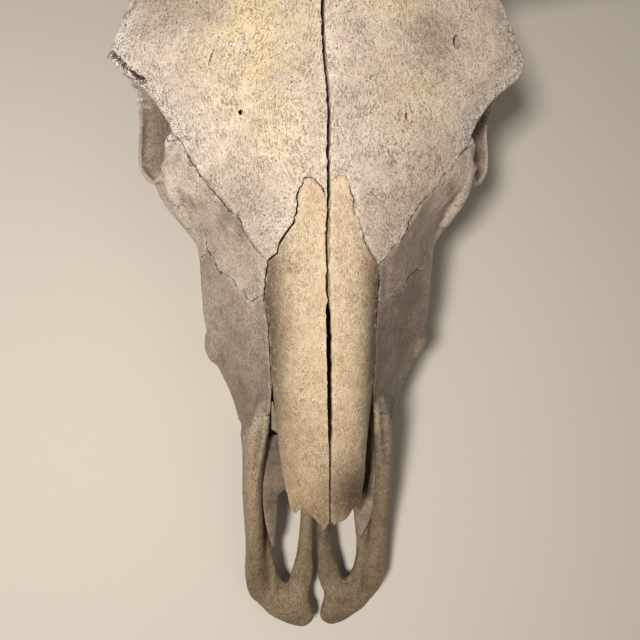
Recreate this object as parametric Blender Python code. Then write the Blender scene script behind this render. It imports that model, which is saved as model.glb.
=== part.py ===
"""Skull of a cow without its lower jaw, lying on its cheek teeth and its paracondylar processes.

The skull is first built up whole from rounded masses, as a sculptor builds in clay, and then parted
along its sutures into the bones that a person would name. Lengths are in millimetres in the skull's
working frame: x runs to the animal's left, s runs back from the front of the muzzle, and z up from
the table. `at` turns them into metres in the part's own frame.
"""

import bisect
import math

import bmesh
import bpy
from mathutils import Matrix, Vector

MM = 0.001
ORIGIN_S = 247.0          # the middle of the skull's length, from which y is measured

VOXEL = 2.2               # grain of the clay in which the masses are joined
CLAY_TRIANGLES = 4400     # what the whole skull is thinned to before it is parted
BONE_SHARES = (0.80, 0.83, 0.86, 0.9, 0.95)  # shares of its triangles that a bone may keep, best first
HORN_TRIANGLES = 480      # what one horn sheath is thinned to
FLAT = math.radians(1.5)  # faces that turn less than this to each other become one
GAP = 0.35                # the thin cut between two bones
CRUMB = 60.0              # a scrap of bone larger than this many cubic millimetres is reported

IVORY = (0.62, 0.53, 0.39)
HORN_GREY = (0.16, 0.13, 0.10)


def at(x, s, z):
    """The place in the part's own frame, in metres, of a place on the skull in millimetres."""
    return Vector((x, s - ORIGIN_S, z)) * MM


def curve(*knots):
    """A smooth function through (place, value) knots, which never swings past them."""
    places, values = zip(*knots)
    steps = [(b[1] - a[1]) / (b[0] - a[0]) for a, b in zip(knots, knots[1:])]
    inner = [0.0 if a * b <= 0 else 2 * a * b / (a + b) for a, b in zip(steps, steps[1:])]
    slopes = [steps[0], *inner, steps[-1]]

    def value(place):
        place = min(max(place, places[0]), places[-1])
        i = min(bisect.bisect_right(places, place) - 1, len(steps) - 1)
        width = places[i + 1] - places[i]
        t = (place - places[i]) / width
        rise = (values[i + 1] - values[i]) * t * t * (3 - 2 * t)
        bend = width * t * (1 - t) * (slopes[i] * (1 - t) - slopes[i + 1] * t)
        return values[i] + rise + bend

    return value


# ---------------------------------------------------------------- driving dimensions, by place s
# The roof of the skull, from the tips of the nasal bones to the poll.
RIDGE_Z = curve((60, 89), (77, 95), (110, 106), (150, 121), (190, 137), (240, 155), (280, 166),
                (320, 175), (350, 182), (400, 191), (450, 198), (480, 201), (497, 196))
NASAL_HALF = curve((70, 21.5), (80, 23.5), (92, 25), (112, 27.6), (140, 30.4), (165, 32.5), (190, 33.5),
                   (215, 35), (262, 35))
NASAL_DROP = curve((70, 8), (100, 12), (140, 15), (200, 15), (236, 11), (262, 6))
ROOF_HALF = curve((226, 34), (240, 40), (250, 46), (265, 56), (280, 67), (293, 77), (306, 86), (319, 93),
                  (330, 100), (337, 107), (344, 116), (349, 122), (356, 123), (366, 119), (385, 111),
                  (398, 103), (410, 98), (425, 94), (440, 91), (460, 92), (478, 88), (490, 76), (498, 52))
ROOF_DROP = curve((226, 14), (240, 9), (250, 8), (265, 11), (280, 14), (306, 21), (335, 24), (352, 25),
                  (375, 24), (400, 21), (440, 15), (480, 13), (498, 12))
ROOF_THICK = curve((226, 8), (262, 12), (300, 22), (350, 26), (498, 26))
ROOF_EDGE = curve((226, 6), (300, 7), (350, 9), (400, 13), (450, 22), (498, 20))

# The side of the face, from its top edge past the facial crest to the edge of the tooth sockets.
WALL_TOP_X = curve((12, 35), (24, 40), (45, 40), (60, 41), (80, 41), (99, 40.3), (116, 38.5), (144, 34.5),
                   (162, 33), (190, 34.5), (220, 37), (236, 39), (250, 46), (265, 56), (280, 67), (293, 77),
                   (312, 88))
WALL_TOP_Z = curve((12, 22), (24, 29), (35, 35), (45, 41), (60, 47), (80, 57), (99, 69), (116, 80), (144, 99),
                   (162, 108), (190, 121), (220, 133), (236, 143), (250, 148), (280, 151), (312, 152))
CREST_X = curve((12, 41.5), (20, 48), (28, 51), (38, 50.5), (57, 51), (75, 52), (95, 53), (118, 53),
                (140, 54.5), (156, 57.5), (175, 65), (190, 72), (205, 75), (220, 77), (240, 78), (262, 80),
                (275, 84.5), (283, 91), (290, 98.5), (297, 103), (312, 104))
CREST_Z = curve((12, 21), (24, 25), (60, 36), (90, 42), (120, 50), (157, 62), (190, 72), (220, 86), (262, 98),
                (295, 108), (312, 110))
ROW_X = curve((12, 36), (24, 43), (60, 43.5), (96, 42), (128, 42), (140, 45), (155, 50), (175, 57), (200, 63),
              (240, 67), (270, 64), (290, 58), (312, 54))
ROW_Z = curve((12, 19.5), (24, 19), (60, 24), (96, 27), (126, 26), (138, 17), (268, 17), (276, 26), (290, 46),
              (312, 74))
ROW_IN = curve((12, 30), (24, 38), (96, 38), (128, 36), (140, 33), (175, 36), (200, 38), (240, 40), (270, 40),
               (312, 46))
PALATE_Z = curve((12, 19.5), (24, 20), (60, 25), (96, 28), (140, 29), (200, 31), (260, 29), (272, 36),
                 (290, 56), (312, 80))
SHELF_X = curve((12, 24), (26, 23), (32, 27), (38, 29), (46, 30.5), (65, 29.5), (92, 25.5), (98, -2),
                (264, -2), (272, 20), (312, 40))
SHELF_THICK = curve((12, 2.5), (24, 4), (98, 5), (312, 6))
INNER_X = curve((12, 33), (24, 36), (36, 34), (46, 36), (58, 40.5), (72, 43), (96, 43), (120, 42), (150, 38),
                (180, 34), (260, 33), (312, 44))
LIP = curve((12, 4.5), (45, 3.5), (70, 2.2), (145, 2), (168, 4.5), (312, 4.5))
LIP_DROP = curve((12, 4), (45, 7), (70, 7), (120, 6), (150, 3), (168, 2), (312, 2))
CROWN = curve((12, 1), (30, 1.5), (60, 2), (120, 2), (150, 1), (168, 0), (312, 0))
BULGE = curve((12, 0.36), (245, 0.38), (265, 0.5), (285, 0.72), (312, 0.78))

# The body of the premaxilla, in front of the palatine fissures.
MUZZLE_OUT = curve((-6, 13), (-4, 20), (-1, 26), (4, 34.5), (12, 42), (20, 48.5), (28, 51.5), (34, 51))
MUZZLE_IN = curve((-6, 8), (-3, 3.5), (0, 2), (5, 2.6), (13, 5.2), (20, 5.6), (28, 3.5), (34, 1))
MUZZLE_Z = curve((-6, 17), (10, 19), (20, 20.3), (27, 20))
MUZZLE_THICK = curve((-6, 4), (-2, 9), (6, 12), (19, 12.5), (27, 6))

# The braincase and the root of the nose, as one core under the roof.
CORE_HALF = curve((276, 52), (300, 46), (330, 40), (355, 44), (390, 56), (430, 62), (465, 70), (488, 62))
CORE_TOP = curve((276, 158), (320, 168), (400, 184), (460, 190), (488, 184))
CORE_FLOOR = curve((276, 84), (300, 76), (340, 70), (380, 62), (430, 54), (466, 58), (488, 84))

# How far the whole skull leans to its left: the muzzle points a little to the right of the forehead.
LEAN = curve((-6, -1.6), (25, -2.0), (60, -1.5), (150, 0), (240, 0.8), (300, 2), (350, 3), (385, 3), (424, 0),
             (510, 0))

# The side edge of the nasal bones, where they part from the face, and their spurs between the frontals.
NASAL_EDGE = curve((60, 27), (96, 26), (120, 29), (150, 32.5), (165, 32.5), (190, 33), (215, 34.5),
                   (232, 33.5), (240, 29), (250, 23), (262, 18), (270, 16), (276, 10), (279, 5))

# The midline crack, which stands open over the nose and the forehead.
CRACK_LINE = curve((60, 2), (133, 2), (188, 1), (239, 0), (276, 1), (298, 1), (316, 2), (330, -1), (340, 0),
                   (355, -1), (380, -1), (430, 1), (470, -1), (500, 0))
CRACK_WIDE = curve((60, 1.3), (126, 1.3), (138, 2.9), (208, 3.1), (216, 2.4), (225, 2.6), (236, 2.2),
                   (252, 1.5), (272, 1.5), (290, 2.0), (345, 1.9), (372, 2.0), (420, 1.2), (500, 0.9))

# How deep the crack parts the two sides.
CRACK_FOOT = curve((60, 60), (230, 112), (262, 119), (300, 124), (400, 137), (452, 144), (474, 162),
                   (506, 170))

# The cheek teeth of one side: front, back and width of each.
CHEEK_TEETH = ((138, 152, 12), (152, 169, 15), (169, 187, 18), (187, 211, 22), (211, 239, 24), (239, 268, 23))


# ---------------------------------------------------------------- clay
def wrap(rings):
    """A closed mesh round rings of equally many points: a grid bent round, its seam and its ends closed."""
    around, along = len(rings[0]), len(rings)
    mesh = bmesh.new()
    bmesh.ops.create_grid(mesh, x_segments=around, y_segments=along - 1, size=1.0)
    for vert in mesh.verts:
        i = round((vert.co.x + 1) / 2 * around) % around
        j = round((vert.co.y + 1) / 2 * (along - 1))
        vert.co = rings[j][i]
    bmesh.ops.remove_doubles(mesh, verts=mesh.verts, dist=0.01 * MM)
    bmesh.ops.holes_fill(mesh, edges=[e for e in mesh.edges if e.is_boundary], sides=0)
    bmesh.ops.recalc_face_normals(mesh, faces=mesh.faces)
    return mesh


def loft(section, first, last, spacing=5.0):
    """The closed (x, z) section at each place s, wrapped."""
    count = max(2, round((last - first) / spacing))
    places = [first + (last - first) * i / count for i in range(count + 1)]
    return wrap([[at(x, s, z) for x, z in section(s)] for s in places])


def flowing(points, between=5):
    """A Catmull-Rom line through points of any number of values."""
    ends = [points[0], *points, points[-1]]
    out = []
    for a, b, c, d in zip(ends, ends[1:], ends[2:], ends[3:]):
        for i in range(between):
            t = i / between
            out.append([
                q + 0.5 * ((r - p) * t + (2 * p - 5 * q + 4 * r - w) * t * t + (3 * (q - r) - p + w) * t ** 3)
                for p, q, r, w in zip(a, b, c, d)
            ])
    return [*out, list(points[-1])]


def bar(*points, up=(0, 0, 1), around=16):
    """A rounded bar through points (x, s, z, half width, half height). Its height leans to up."""
    line = flowing(points)
    places = [at(*p[:3]) for p in line]
    rings = []
    for i, place in enumerate(places):
        ahead = (places[min(i + 1, len(places) - 1)] - places[max(i - 1, 0)]).normalized()
        side = ahead.cross(Vector(up)).normalized()
        lift = side.cross(ahead)
        wide, high = (max(v, 0.3) * MM for v in line[i][3:])
        turns = [2 * math.pi * k / around for k in range(around)]
        rings.append([place + side * wide * math.cos(t) + lift * high * math.sin(t) for t in turns])
    return wrap(rings)


def band(*points, around=16):
    """A thin-edged band through points (outer x, s, z, inner x, s, z, half thickness)."""
    line = flowing(points)
    pairs = [(at(*p[:3]), at(*p[3:6])) for p in line]
    middles = [(outer + inner) / 2 for outer, inner in pairs]
    rings = []
    for i, (outer, inner) in enumerate(pairs):
        ahead = middles[min(i + 1, len(middles) - 1)] - middles[max(i - 1, 0)]
        reach = (outer - inner) / 2
        side = ahead.cross(reach).normalized() * line[i][6] * MM
        turns = [2 * math.pi * k / around for k in range(around)]
        rings.append([middles[i] + reach * math.copysign(abs(math.cos(t)) ** 0.6, math.cos(t))
                      + side * math.copysign(abs(math.sin(t)) ** 0.8, math.sin(t)) for t in turns])
    return wrap(rings)


def ball(centre, radii, turn=(0, 0, 0)):
    """An ellipsoid. turn is in degrees about x, y and z."""
    mesh = bmesh.new()
    bmesh.ops.create_icosphere(mesh, subdivisions=3, radius=1.0)
    bmesh.ops.scale(mesh, verts=mesh.verts, vec=Vector(radii) * MM)
    for axis, angle in zip("XYZ", turn):
        bmesh.ops.rotate(mesh, verts=mesh.verts, matrix=Matrix.Rotation(math.radians(angle), 3, axis))
    bmesh.ops.translate(mesh, verts=mesh.verts, vec=at(*centre))
    return mesh


def mirrored(mesh):
    """The same shape on the animal's right."""
    twin = mesh.copy()
    bmesh.ops.scale(twin, verts=twin.verts, vec=(-1, 1, 1))
    bmesh.ops.reverse_faces(twin, faces=twin.faces)
    return twin


def paired(*meshes):
    """These shapes of the animal's left and their twins."""
    return [*meshes, *(mirrored(mesh) for mesh in meshes)]


def object_of(name, meshes):
    """One object that holds all these shapes."""
    joined = bmesh.new()
    for mesh in meshes:
        data = bpy.data.meshes.new(name)
        mesh.to_mesh(data)
        mesh.free()
        joined.from_mesh(data)
        bpy.data.meshes.remove(data)
    data = bpy.data.meshes.new(name)
    joined.to_mesh(data)
    joined.free()
    obj = bpy.data.objects.new(name, data)
    bpy.context.scene.collection.objects.link(obj)
    return obj


def copy_of(obj, name):
    """A separate object of the same shape."""
    twin = bpy.data.objects.new(name, obj.data.copy())
    bpy.context.scene.collection.objects.link(twin)
    return twin


def settle(obj):
    """Applies the object's modifiers."""
    graph = bpy.context.evaluated_depsgraph_get()
    data = bpy.data.meshes.new_from_object(obj.evaluated_get(graph))
    obj.modifiers.clear()
    old, obj.data = obj.data, data
    bpy.data.meshes.remove(old)


def join(obj, other):
    """Adds the other object's mesh to obj as it is."""
    mesh = bmesh.new()
    mesh.from_mesh(obj.data)
    mesh.from_mesh(other.data)
    mesh.to_mesh(obj.data)
    mesh.free()
    bpy.data.meshes.remove(other.data)


def remesh(obj, voxel):
    """Joins the overlapping masses of obj into one skin."""
    modifier = obj.modifiers.new("join", "REMESH")
    modifier.mode = "VOXEL"
    modifier.voxel_size = voxel * MM
    settle(obj)


def soften(obj, times):
    """Smooths the joins between the masses."""
    modifier = obj.modifiers.new("soften", "SMOOTH")
    modifier.iterations = times
    settle(obj)


def thin_out(obj, share):
    """Leaves this share of the triangles, where the shape needs them most."""
    modifier = obj.modifiers.new("thin", "DECIMATE")
    modifier.ratio = share
    settle(obj)


def triangles(obj):
    """How many triangles the object's faces make."""
    return sum(len(face.vertices) - 2 for face in obj.data.polygons)


def cut(obj, meshes, operation="DIFFERENCE"):
    """A Boolean of obj with the joined shapes."""
    cutter = object_of("cutter", meshes)
    cutter.hide_render = True
    cutter.display_type = "WIRE"
    modifier = obj.modifiers.new("cut", "BOOLEAN")
    modifier.operation = operation
    modifier.object = cutter
    settle(obj)
    bpy.data.meshes.remove(cutter.data)


# ---------------------------------------------------------------- masses
def roof_section(s, half, drop, thick, edge):
    """A domed plate, full width, thick in its middle and thinner at its edges."""
    across = [-1 + i / 8 for i in range(17)]
    top = [(half * f, RIDGE_Z(s) - drop * abs(f) ** 2.3) for f in across]
    below = [(half * f * 0.97, z - edge - (thick - edge) * (1 - f * f)) for f, (_, z) in zip(across, top)]
    return [*top, *reversed(below)]


def nasal_section(s):
    """The two nasal bones as one arched plate."""
    return roof_section(s, NASAL_HALF(s), NASAL_DROP(s), 5.5, 4.5)


def frontal_section(s):
    """The forehead, out to the rims of the eye sockets."""
    return roof_section(s, ROOF_HALF(s), ROOF_DROP(s), ROOF_THICK(s), ROOF_EDGE(s))


def face_section(s):
    """The left wall of the face with its half of the palate, open towards the nasal cavity."""
    top_x, top_z, crest_x, crest_z = WALL_TOP_X(s), WALL_TOP_Z(s), CREST_X(s), CREST_Z(s)
    row_x, row_z, row_in = ROW_X(s), ROW_Z(s), ROW_IN(s)
    shelf_x, palate_z, inner_x = SHELF_X(s), PALATE_Z(s), INNER_X(s)
    floor_z = palate_z + SHELF_THICK(s)
    lip_x, lip_z, crown_x, bulge = min(top_x - LIP(s), 40), top_z - LIP_DROP(s), top_x + CROWN(s), BULGE(s)
    return [
        (crown_x, top_z),
        (crown_x + bulge * (crest_x - crown_x), crest_z + 0.66 * (top_z - crest_z)),
        (top_x + (0.5 + 0.5 * bulge) * (crest_x - top_x), crest_z + 0.32 * (top_z - crest_z)),
        (crest_x - 0.6, crest_z + 4),
        (crest_x, crest_z),
        (crest_x - 1.5, crest_z - 4),
        (row_x + 0.45 * (crest_x - row_x), row_z + 0.55 * (crest_z - row_z)),
        (row_x, row_z + 2),
        (row_x - 2, row_z),
        (row_in + 1, row_z),
        (row_in - 2, 0.5 * (row_z + palate_z)),
        (min(row_in - 5, shelf_x + 8), palate_z),
        (shelf_x, palate_z),
        (shelf_x, floor_z),
        (0.5 * (shelf_x + inner_x - 5), floor_z + 1.0),
        (inner_x - 5, floor_z + 4),
        (0.5 * (inner_x + lip_x), 0.5 * (floor_z + 4 + lip_z)),
        (lip_x, lip_z),
    ]


def muzzle_section(s):
    """The flat body of the left premaxilla."""
    inner, outer, level, half = MUZZLE_IN(s), MUZZLE_OUT(s), MUZZLE_Z(s), MUZZLE_THICK(s) / 2
    middle, reach = 0.5 * (inner + outer), 0.5 * (outer - inner)
    turns = [2 * math.pi * k / 16 for k in range(16)]
    return [
        (middle + reach * math.copysign(abs(math.cos(t)) ** 0.7, math.cos(t)), level + half * math.sin(t))
        for t in turns
    ]


def core_section(s):
    """The root of the nose and the braincase."""
    middle, half_z = 0.5 * (CORE_TOP(s) + CORE_FLOOR(s)), 0.5 * (CORE_TOP(s) - CORE_FLOOR(s))
    out = []
    for k in range(24):
        turn = 2 * math.pi * k / 24
        c, d = math.cos(turn), math.sin(turn)
        out.append((CORE_HALF(s) * math.copysign(abs(c) ** 0.75, c),
                    middle + half_z * math.copysign(abs(d) ** 0.85, d)))
    return out


def cheek_tooth(first, last, wide):
    """One tooth of the left row, from its socket to the table."""
    middle = 0.5 * (first + last)
    half_s, centre_x = 0.5 * (last - first) - 0.4, ROW_X(middle) - 1 - wide / 2
    rings = []
    for z, grow in ((-2, 0.94), (6, 1.0), (14, 0.97), (26, 0.85)):
        ring = []
        for k in range(16):
            c, d = math.cos(math.pi * k / 8), math.sin(math.pi * k / 8)
            x = centre_x + (26 - z) * 0.06 + grow * wide / 2 * math.copysign(abs(c) ** 0.6, c)
            ring.append(at(x, middle + grow * half_s * math.copysign(abs(d) ** 0.6, d), z))
        rings.append(ring)
    return wrap(rings)


def face_masses():
    """Nose, face, palate and cheek teeth."""
    medial_arm = bar((12.5, 22, 20, 8.5, 4.5), (9.6, 32, 21.5, 8.5, 4.5), (8.2, 42, 23, 7, 4.5),
                     (7.2, 52, 24, 6, 4.5), (6.4, 72, 26, 5, 4), (6.4, 104, 30, 5.5, 4))
    outer_arm = bar((41, 22, 22, 8, 5), (43.5, 34, 27, 8, 6), (44, 45, 32.5, 7.3, 6.5),
                    (44.3, 60, 39.5, 6.7, 6.8), (44.6, 76, 48, 6.4, 7.2), (44.9, 91, 56, 6.2, 7.4),
                    (44.5, 110, 66, 5.9, 8), (44.2, 130, 76, 5.4, 8), (40.5, 147, 88, 4.5, 8),
                    (37.5, 160, 98, 3, 6))
    tuber = ball((68, 197, 74), (9, 14, 9), (0, 0, -8))
    tear_bulla = ball((50, 290, 84), (17, 26, 19))
    teeth = [cheek_tooth(*tooth) for tooth in CHEEK_TEETH]
    return [
        loft(nasal_section, 70, 264),
        *paired(loft(face_section, 12, 312, 4), loft(muzzle_section, -6, 26, 3), medial_arm, outer_arm, tuber,
                tear_bulla, *teeth),
    ]


def cheek_masses():
    """The cheek bone's arch behind the eye socket, and the joint of the jaw."""
    cheek = bar((74, 262, 98, 6, 9), (82, 276, 98, 8, 10), (93, 291, 98, 9, 10), (102, 310, 93, 8, 8.5),
                (104, 332, 91.5, 6, 7), (101.5, 356, 93, 5, 7), (98, 380, 94, 5, 6), (90, 402, 95, 8, 6),
                (78, 416, 99, 12, 8), (62, 424, 104, 12, 12))
    joint = ball((80, 405, 88), (21, 13, 6), (12, 0, 0))
    return paired(cheek, joint)


def brow_masses():
    """The forehead, and the flared wall with its rim round each eye socket."""
    wall = band((84, 311, 152, 75, 314, 149, 3.5), (93, 309, 146, 78, 312, 141, 4),
                (95, 302, 136, 78, 306, 129, 4.5), (97, 296, 122, 79, 303, 114, 4.5),
                (105, 296, 112, 85, 306, 101, 4.2), (111, 304, 110, 90, 311, 96, 3.6),
                (113.5, 314, 108.5, 90, 319, 92, 3.2), (113.5, 328, 109, 90, 330, 91, 3.2),
                (112.5, 340, 115, 91, 341, 98, 3.2), (112.5, 348, 127, 92, 347, 115, 3.4),
                (115, 353, 141, 95, 351, 136, 3.8), (119, 355, 153, 97, 355, 150, 4.5))
    edge = bar((96, 297, 127, 3, 3), (104.5, 296.5, 115.5, 3, 3), (111.5, 304, 112, 3, 3),
               (114, 314, 110.5, 3, 3), (114, 328, 111, 3, 3), (113, 340, 117, 3, 3), (113, 348, 128.5, 3, 3),
               (115.5, 353, 142, 3, 3), (119.5, 355, 154, 3, 3))
    knob = ball((81, 298.5, 140), (11, 13.5, 12))
    return [loft(frontal_section, 226, 498), *paired(wall, edge, knob)]


def back_masses():
    """Braincase, ear region, nape, condyles and the processes that the skull rests on."""
    crest = bar((0, 490, 191, 9, 9), (50, 489, 187, 9, 9), (80, 474, 170, 10, 9), (88, 461, 140, 10, 9),
                (88, 450, 112, 10, 9), up=(0, 1, 0))
    nape = ball((0, 464, 128), (88, 20, 62))
    poll = ball((0, 468, 170), (84, 22, 26))
    nape_ridge = bar((0, 484, 182, 12, 8), (0, 487, 166, 10, 9), (0, 485, 146, 7, 8), (0, 480, 120, 4, 6),
                     up=(0, 1, 0))
    ear = ball((70, 438, 100), (20, 20, 25))
    ear_tube = bar((80, 443, 99, 10, 10), (90, 447, 98, 8.5, 9), (96, 449, 98, 7.5, 8))
    bulla = ball((42, 432, 56), (12, 19, 21))
    condyle = bar((10, 470, 38, 9, 8), (18, 481, 39, 12, 11), (28, 485, 48, 13.5, 13),
                  (36, 479, 62, 12.5, 12), (39, 468, 76, 10, 9), up=(0, 1, 0))
    collar = bar((26, 462, 84, 16, 20), (34, 470, 60, 14, 18), (26, 462, 46, 18, 18), up=(0, 1, 0))
    lower = bar((60, 452, 112, 22, 16), (65, 454, 84, 15, 18), (66, 456, 58, 9, 17), (64, 457, 36, 6, 13.5),
                (60, 457, 16, 4.8, 9.5), (56, 456, -5, 4, 6.5), up=(0, 1, 0))
    mastoid = bar((84, 462, 128, 11, 8), (82, 464, 104, 12, 9), (76, 464, 82, 10, 9), (70, 463, 64, 7, 8),
                  up=(0, 1, 0))
    base = bar((0, 486, 52, 22, 9), (0, 450, 52, 21, 9), (0, 420, 56, 17, 9), (0, 380, 64, 12, 9),
               (0, 340, 72, 10, 9), (0, 300, 80, 9, 9))
    tubercle = ball((10, 428, 48), (8, 12, 6))
    plate = bar((24, 262, 40, 4, 12), (24, 285, 50, 3.5, 24), (22, 308, 54, 3.5, 28), (20, 326, 52, 3.5, 26),
                (20, 346, 66, 5, 10))
    hook = bar((21, 322, 38, 3.5, 5), (20, 327, 26, 3, 4), (19, 332, 20, 2.5, 3))
    core_of_horn = bar((62, 452, 177, 26, 20), (92, 454, 183, 25, 20.5), (113, 456.5, 186.8, 22.5, 20))
    return [
        loft(core_section, 276, 488), nape, poll, nape_ridge, base,
        *paired(crest, ear, ear_tube, bulla, condyle, collar, lower, mastoid, tubercle, plate, hook,
                core_of_horn),
    ]


def septum():
    """The vomer, a thin upright plate on the midline of the palate."""
    line = ((112, 33, 44), (150, 34, 54), (200, 35, 62), (250, 34, 66), (285, 44, 84), (300, 60, 84))
    bottom, top = curve(*((s, low) for s, low, _ in line)), curve(*((s, high) for s, _, high in line))
    return loft(lambda s: [(-1.8, bottom(s)), (1.8, bottom(s)), (1.8, top(s)), (-1.8, top(s))], 112, 300)


def sockets():
    """The hollows of the eye sockets, below the forehead."""
    return paired(ball((96, 328, 131), (43, 30, 31), (0, 10, 0)))


def openings():
    """The openings of nerves and ears, and the great foramen under the nape."""
    foramen = bar((0, 520, 74, 18, 17), (0, 480, 78, 18, 17), (0, 440, 84, 17, 16))
    ear_hole = bar((112, 450, 99, 5, 6), (84, 440, 96, 5, 6), (68, 436, 94, 4, 5))
    under_eye = bar((64, 128, 54, 3.5, 6), (54, 142, 58, 3.5, 5), (46, 156, 62, 3, 4))
    over_eye = bar((78, 355, 190, 3.8, 5), (77, 357, 172, 3, 4), (74, 361, 160, 2, 3), up=(0, 1, 0))
    return [foramen, *paired(ear_hole, under_eye, over_eye)]


def prism(outline, low, high):
    """An upright block on a plan outline of (x, s) points, from low to high. low may be a sloped plane."""
    mesh = bmesh.new()
    face = mesh.faces.new([mesh.verts.new((x, s, 0)) for x, s in outline])
    top = bmesh.ops.extrude_face_region(mesh, geom=[face])
    raised = {item for item in top["geom"] if isinstance(item, bmesh.types.BMVert)}
    for vert in mesh.verts:
        x, s, _ = vert.co
        level = high if vert in raised else low
        vert.co = at(x, s, level(x, s) if callable(level) else level)
    bmesh.ops.triangulate(mesh, faces=mesh.faces)
    bmesh.ops.recalc_face_normals(mesh, faces=mesh.faces)
    return mesh


def side_prism(outline, inner, outer):
    """A block on an outline of (s, z) points in side view, from inner to outer across."""
    mesh = bmesh.new()
    face = mesh.faces.new([mesh.verts.new(at(inner, s, z)) for s, z in outline])
    far = bmesh.ops.extrude_face_region(mesh, geom=[face])
    moved = [item for item in far["geom"] if isinstance(item, bmesh.types.BMVert)]
    bmesh.ops.translate(mesh, verts=moved, vec=Vector((outer - inner, 0, 0)) * MM)
    bmesh.ops.triangulate(mesh, faces=mesh.faces)
    bmesh.ops.recalc_face_normals(mesh, faces=mesh.faces)
    return mesh


def nasal_tips():
    """What is cut from the front of the nasal bones to leave their jagged tips."""
    tips = ((-40, 97), (-21, 89.5), (-19, 87), (-16, 91), (-13, 92), (-10, 87), (-6, 81), (-2, 77), (1, 80),
            (5, 78), (9, 81), (13, 83), (17, 88), (20, 90), (22, 87), (40, 97))
    return prism([*tips, (40, 55), (-40, 55)], 78, 125)


def crack_x(s):
    """The midline crack's place across, before the skull leans."""
    return CRACK_LINE(s) - LEAN(s)


def midline_crack():
    """The open crack between the two nasal bones and between the two frontal bones."""
    def section(s):
        x, half, top = crack_x(s), CRACK_WIDE(s) / 2, RIDGE_Z(s)
        foot, narrow = CRACK_FOOT(s), 0.45
        return [(x - half, top + 9), (x - half, top - 7), (x - narrow, top - 10), (x - narrow, foot),
                (x + narrow, foot), (x + narrow, top - 10), (x + half, top - 7), (x + half, top + 9)]

    return loft(section, 62, 508, 8)


# ---------------------------------------------------------------- moulds
# Each mould holds one bone. Bones are taken in `ORDER`, so a mould may reach into the place of a bone
# that is already gone.
def crack_line(first, last, step=8):
    """The middle of the midline crack, in plan."""
    count = max(1, round((last - first) / step))
    places = [first + (last - first) * i / count for i in range(count + 1)]
    return [(crack_x(s), s) for s in places]


def nasal_mould(side):
    """One nasal bone, whose back end is a spur between the frontal bones."""
    inner = [(side * x, s) for x, s in crack_line(60, 279)]
    outer = [(NASAL_EDGE(s), s) for s in range(276, 60, -9)]
    return prism([*inner, *outer, (30, 60)], lambda x, s: RIDGE_Z(60) - 26 + 0.37 * (s - 60), 240)


def frontal_mould(side):
    """One half of the forehead, with its half of the brow, the temple's roof and the horn core."""
    inner = [(side * x, s) for x, s in crack_line(232, 506)]
    outer = [(130, 506), (130, 317), (98, 313), (88, 309), (80, 300), (73, 289), (66, 279), (56, 268),
             (50, 258), (46, 251), (42, 246), (38, 241), (33, 236), (30, 232)]
    return prism([*inner, *outer], lambda x, s: 118 + 0.13 * (s - 236), 240)


def lacrimal_mould(side):
    """The plate between the forehead and the cheek, in front of the eye."""
    outline = [(28, 228), (32, 216), (37, 214), (42, 217), (46, 222), (51, 226), (56, 232), (63, 238),
               (69, 243), (75, 252), (79, 262), (88, 272), (100, 281), (116, 288), (112, 318), (50, 318),
               (34, 250)]
    return prism(outline, lambda x, s: 102 + 0.5 * (x - 55), 200)


def zygomatic_mould(side):
    """The cheek bone: the lower rim of the eye socket, and its arch as far as the joint with the temple."""
    outline = [(247, 92), (252, 106), (260, 114), (280, 123), (297, 127), (314, 129), (328, 139), (338, 147),
               (372, 147), (370, 106), (386, 96), (382, 78), (300, 76), (262, 83)]
    return side_prism(outline, 60, 130)


def premaxilla_mould(side):
    """The bone of the muzzle with its thin arm up to the nose."""
    outline = [(-20, -10), (96, -10), (97, 30), (103, 36), (114, 45), (127, 55), (138, 67), (141, 84),
               (148, 99), (152, 118), (-20, 118)]
    return side_prism(outline, 0, 70)


def palatine_mould(side):
    """The back of the palate and the upright plate behind it."""
    outline = [(0, 240), (20, 238), (32, 246), (32, 264), (31, 278), (31, 318), (13, 318), (13, 276),
               (0, 270)]
    return prism(outline, 8, 72)


def maxilla_mould(side):
    """The wall of the face with the palate and the cheek teeth."""
    outline = [(0, 60), (130, 60), (130, 320), (38, 320), (38, 284), (0, 284)]
    return prism(outline, -10, 200)


def temporal_mould(side):
    """The temple's wall, the joint of the jaw, the back of the arch and the ear region."""
    outline = [(44, 374), (130, 362), (130, 452), (98, 476), (80, 476), (77, 449), (28, 449), (28, 412),
               (44, 412)]
    return prism(outline, 26, 200)


def vomer_mould():
    """The upright plate on the midline of the nose."""
    outline = [(100, 39.5), (200, 41), (256, 40), (266, 34), (286, 40), (286, 100), (100, 100)]
    return side_prism(outline, -4, 4)


def parietal_mould():
    """The two parietal bones in one, between the forehead and the nape."""
    outline = [(404, 128), (404, 139.8), (452, 146), (474, 166), (512, 172), (512, 142), (480, 134)]
    return side_prism(outline, -100, 100)


def occipital_mould():
    """The nape, the condyles, the paracondylar processes and the base behind the sphenoid."""
    outline = [(405, 30), (405, 76), (442, 82), (448, 150), (520, 150), (520, -10), (430, -10), (430, 30)]
    return side_prism(outline, -110, 110)


PAIRED_MOULDS = {
    "nasal": nasal_mould, "frontal": frontal_mould, "lacrimal": lacrimal_mould, "zygomatic": zygomatic_mould,
    "premaxilla": premaxilla_mould, "palatine": palatine_mould, "maxilla": maxilla_mould,
    "temporal": temporal_mould,
}
MIDLINE_MOULDS = {"vomer": vomer_mould, "parietal": parietal_mould, "occipital": occipital_mould}
ORDER = ("nasal", "vomer", "parietal", "zygomatic", "frontal", "lacrimal", "premaxilla", "palatine",
         "maxilla", "temporal", "occipital")


# ---------------------------------------------------------------- parting
def grown(mesh, by):
    """A copy of the mesh, larger by this much on every side."""
    larger = mesh.copy()
    larger.normal_update()
    moves = [(vert, vert.normal * vert.calc_shell_factor() * by * MM) for vert in larger.verts]
    for vert, move in moves:
        vert.co += move
    return larger


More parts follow.
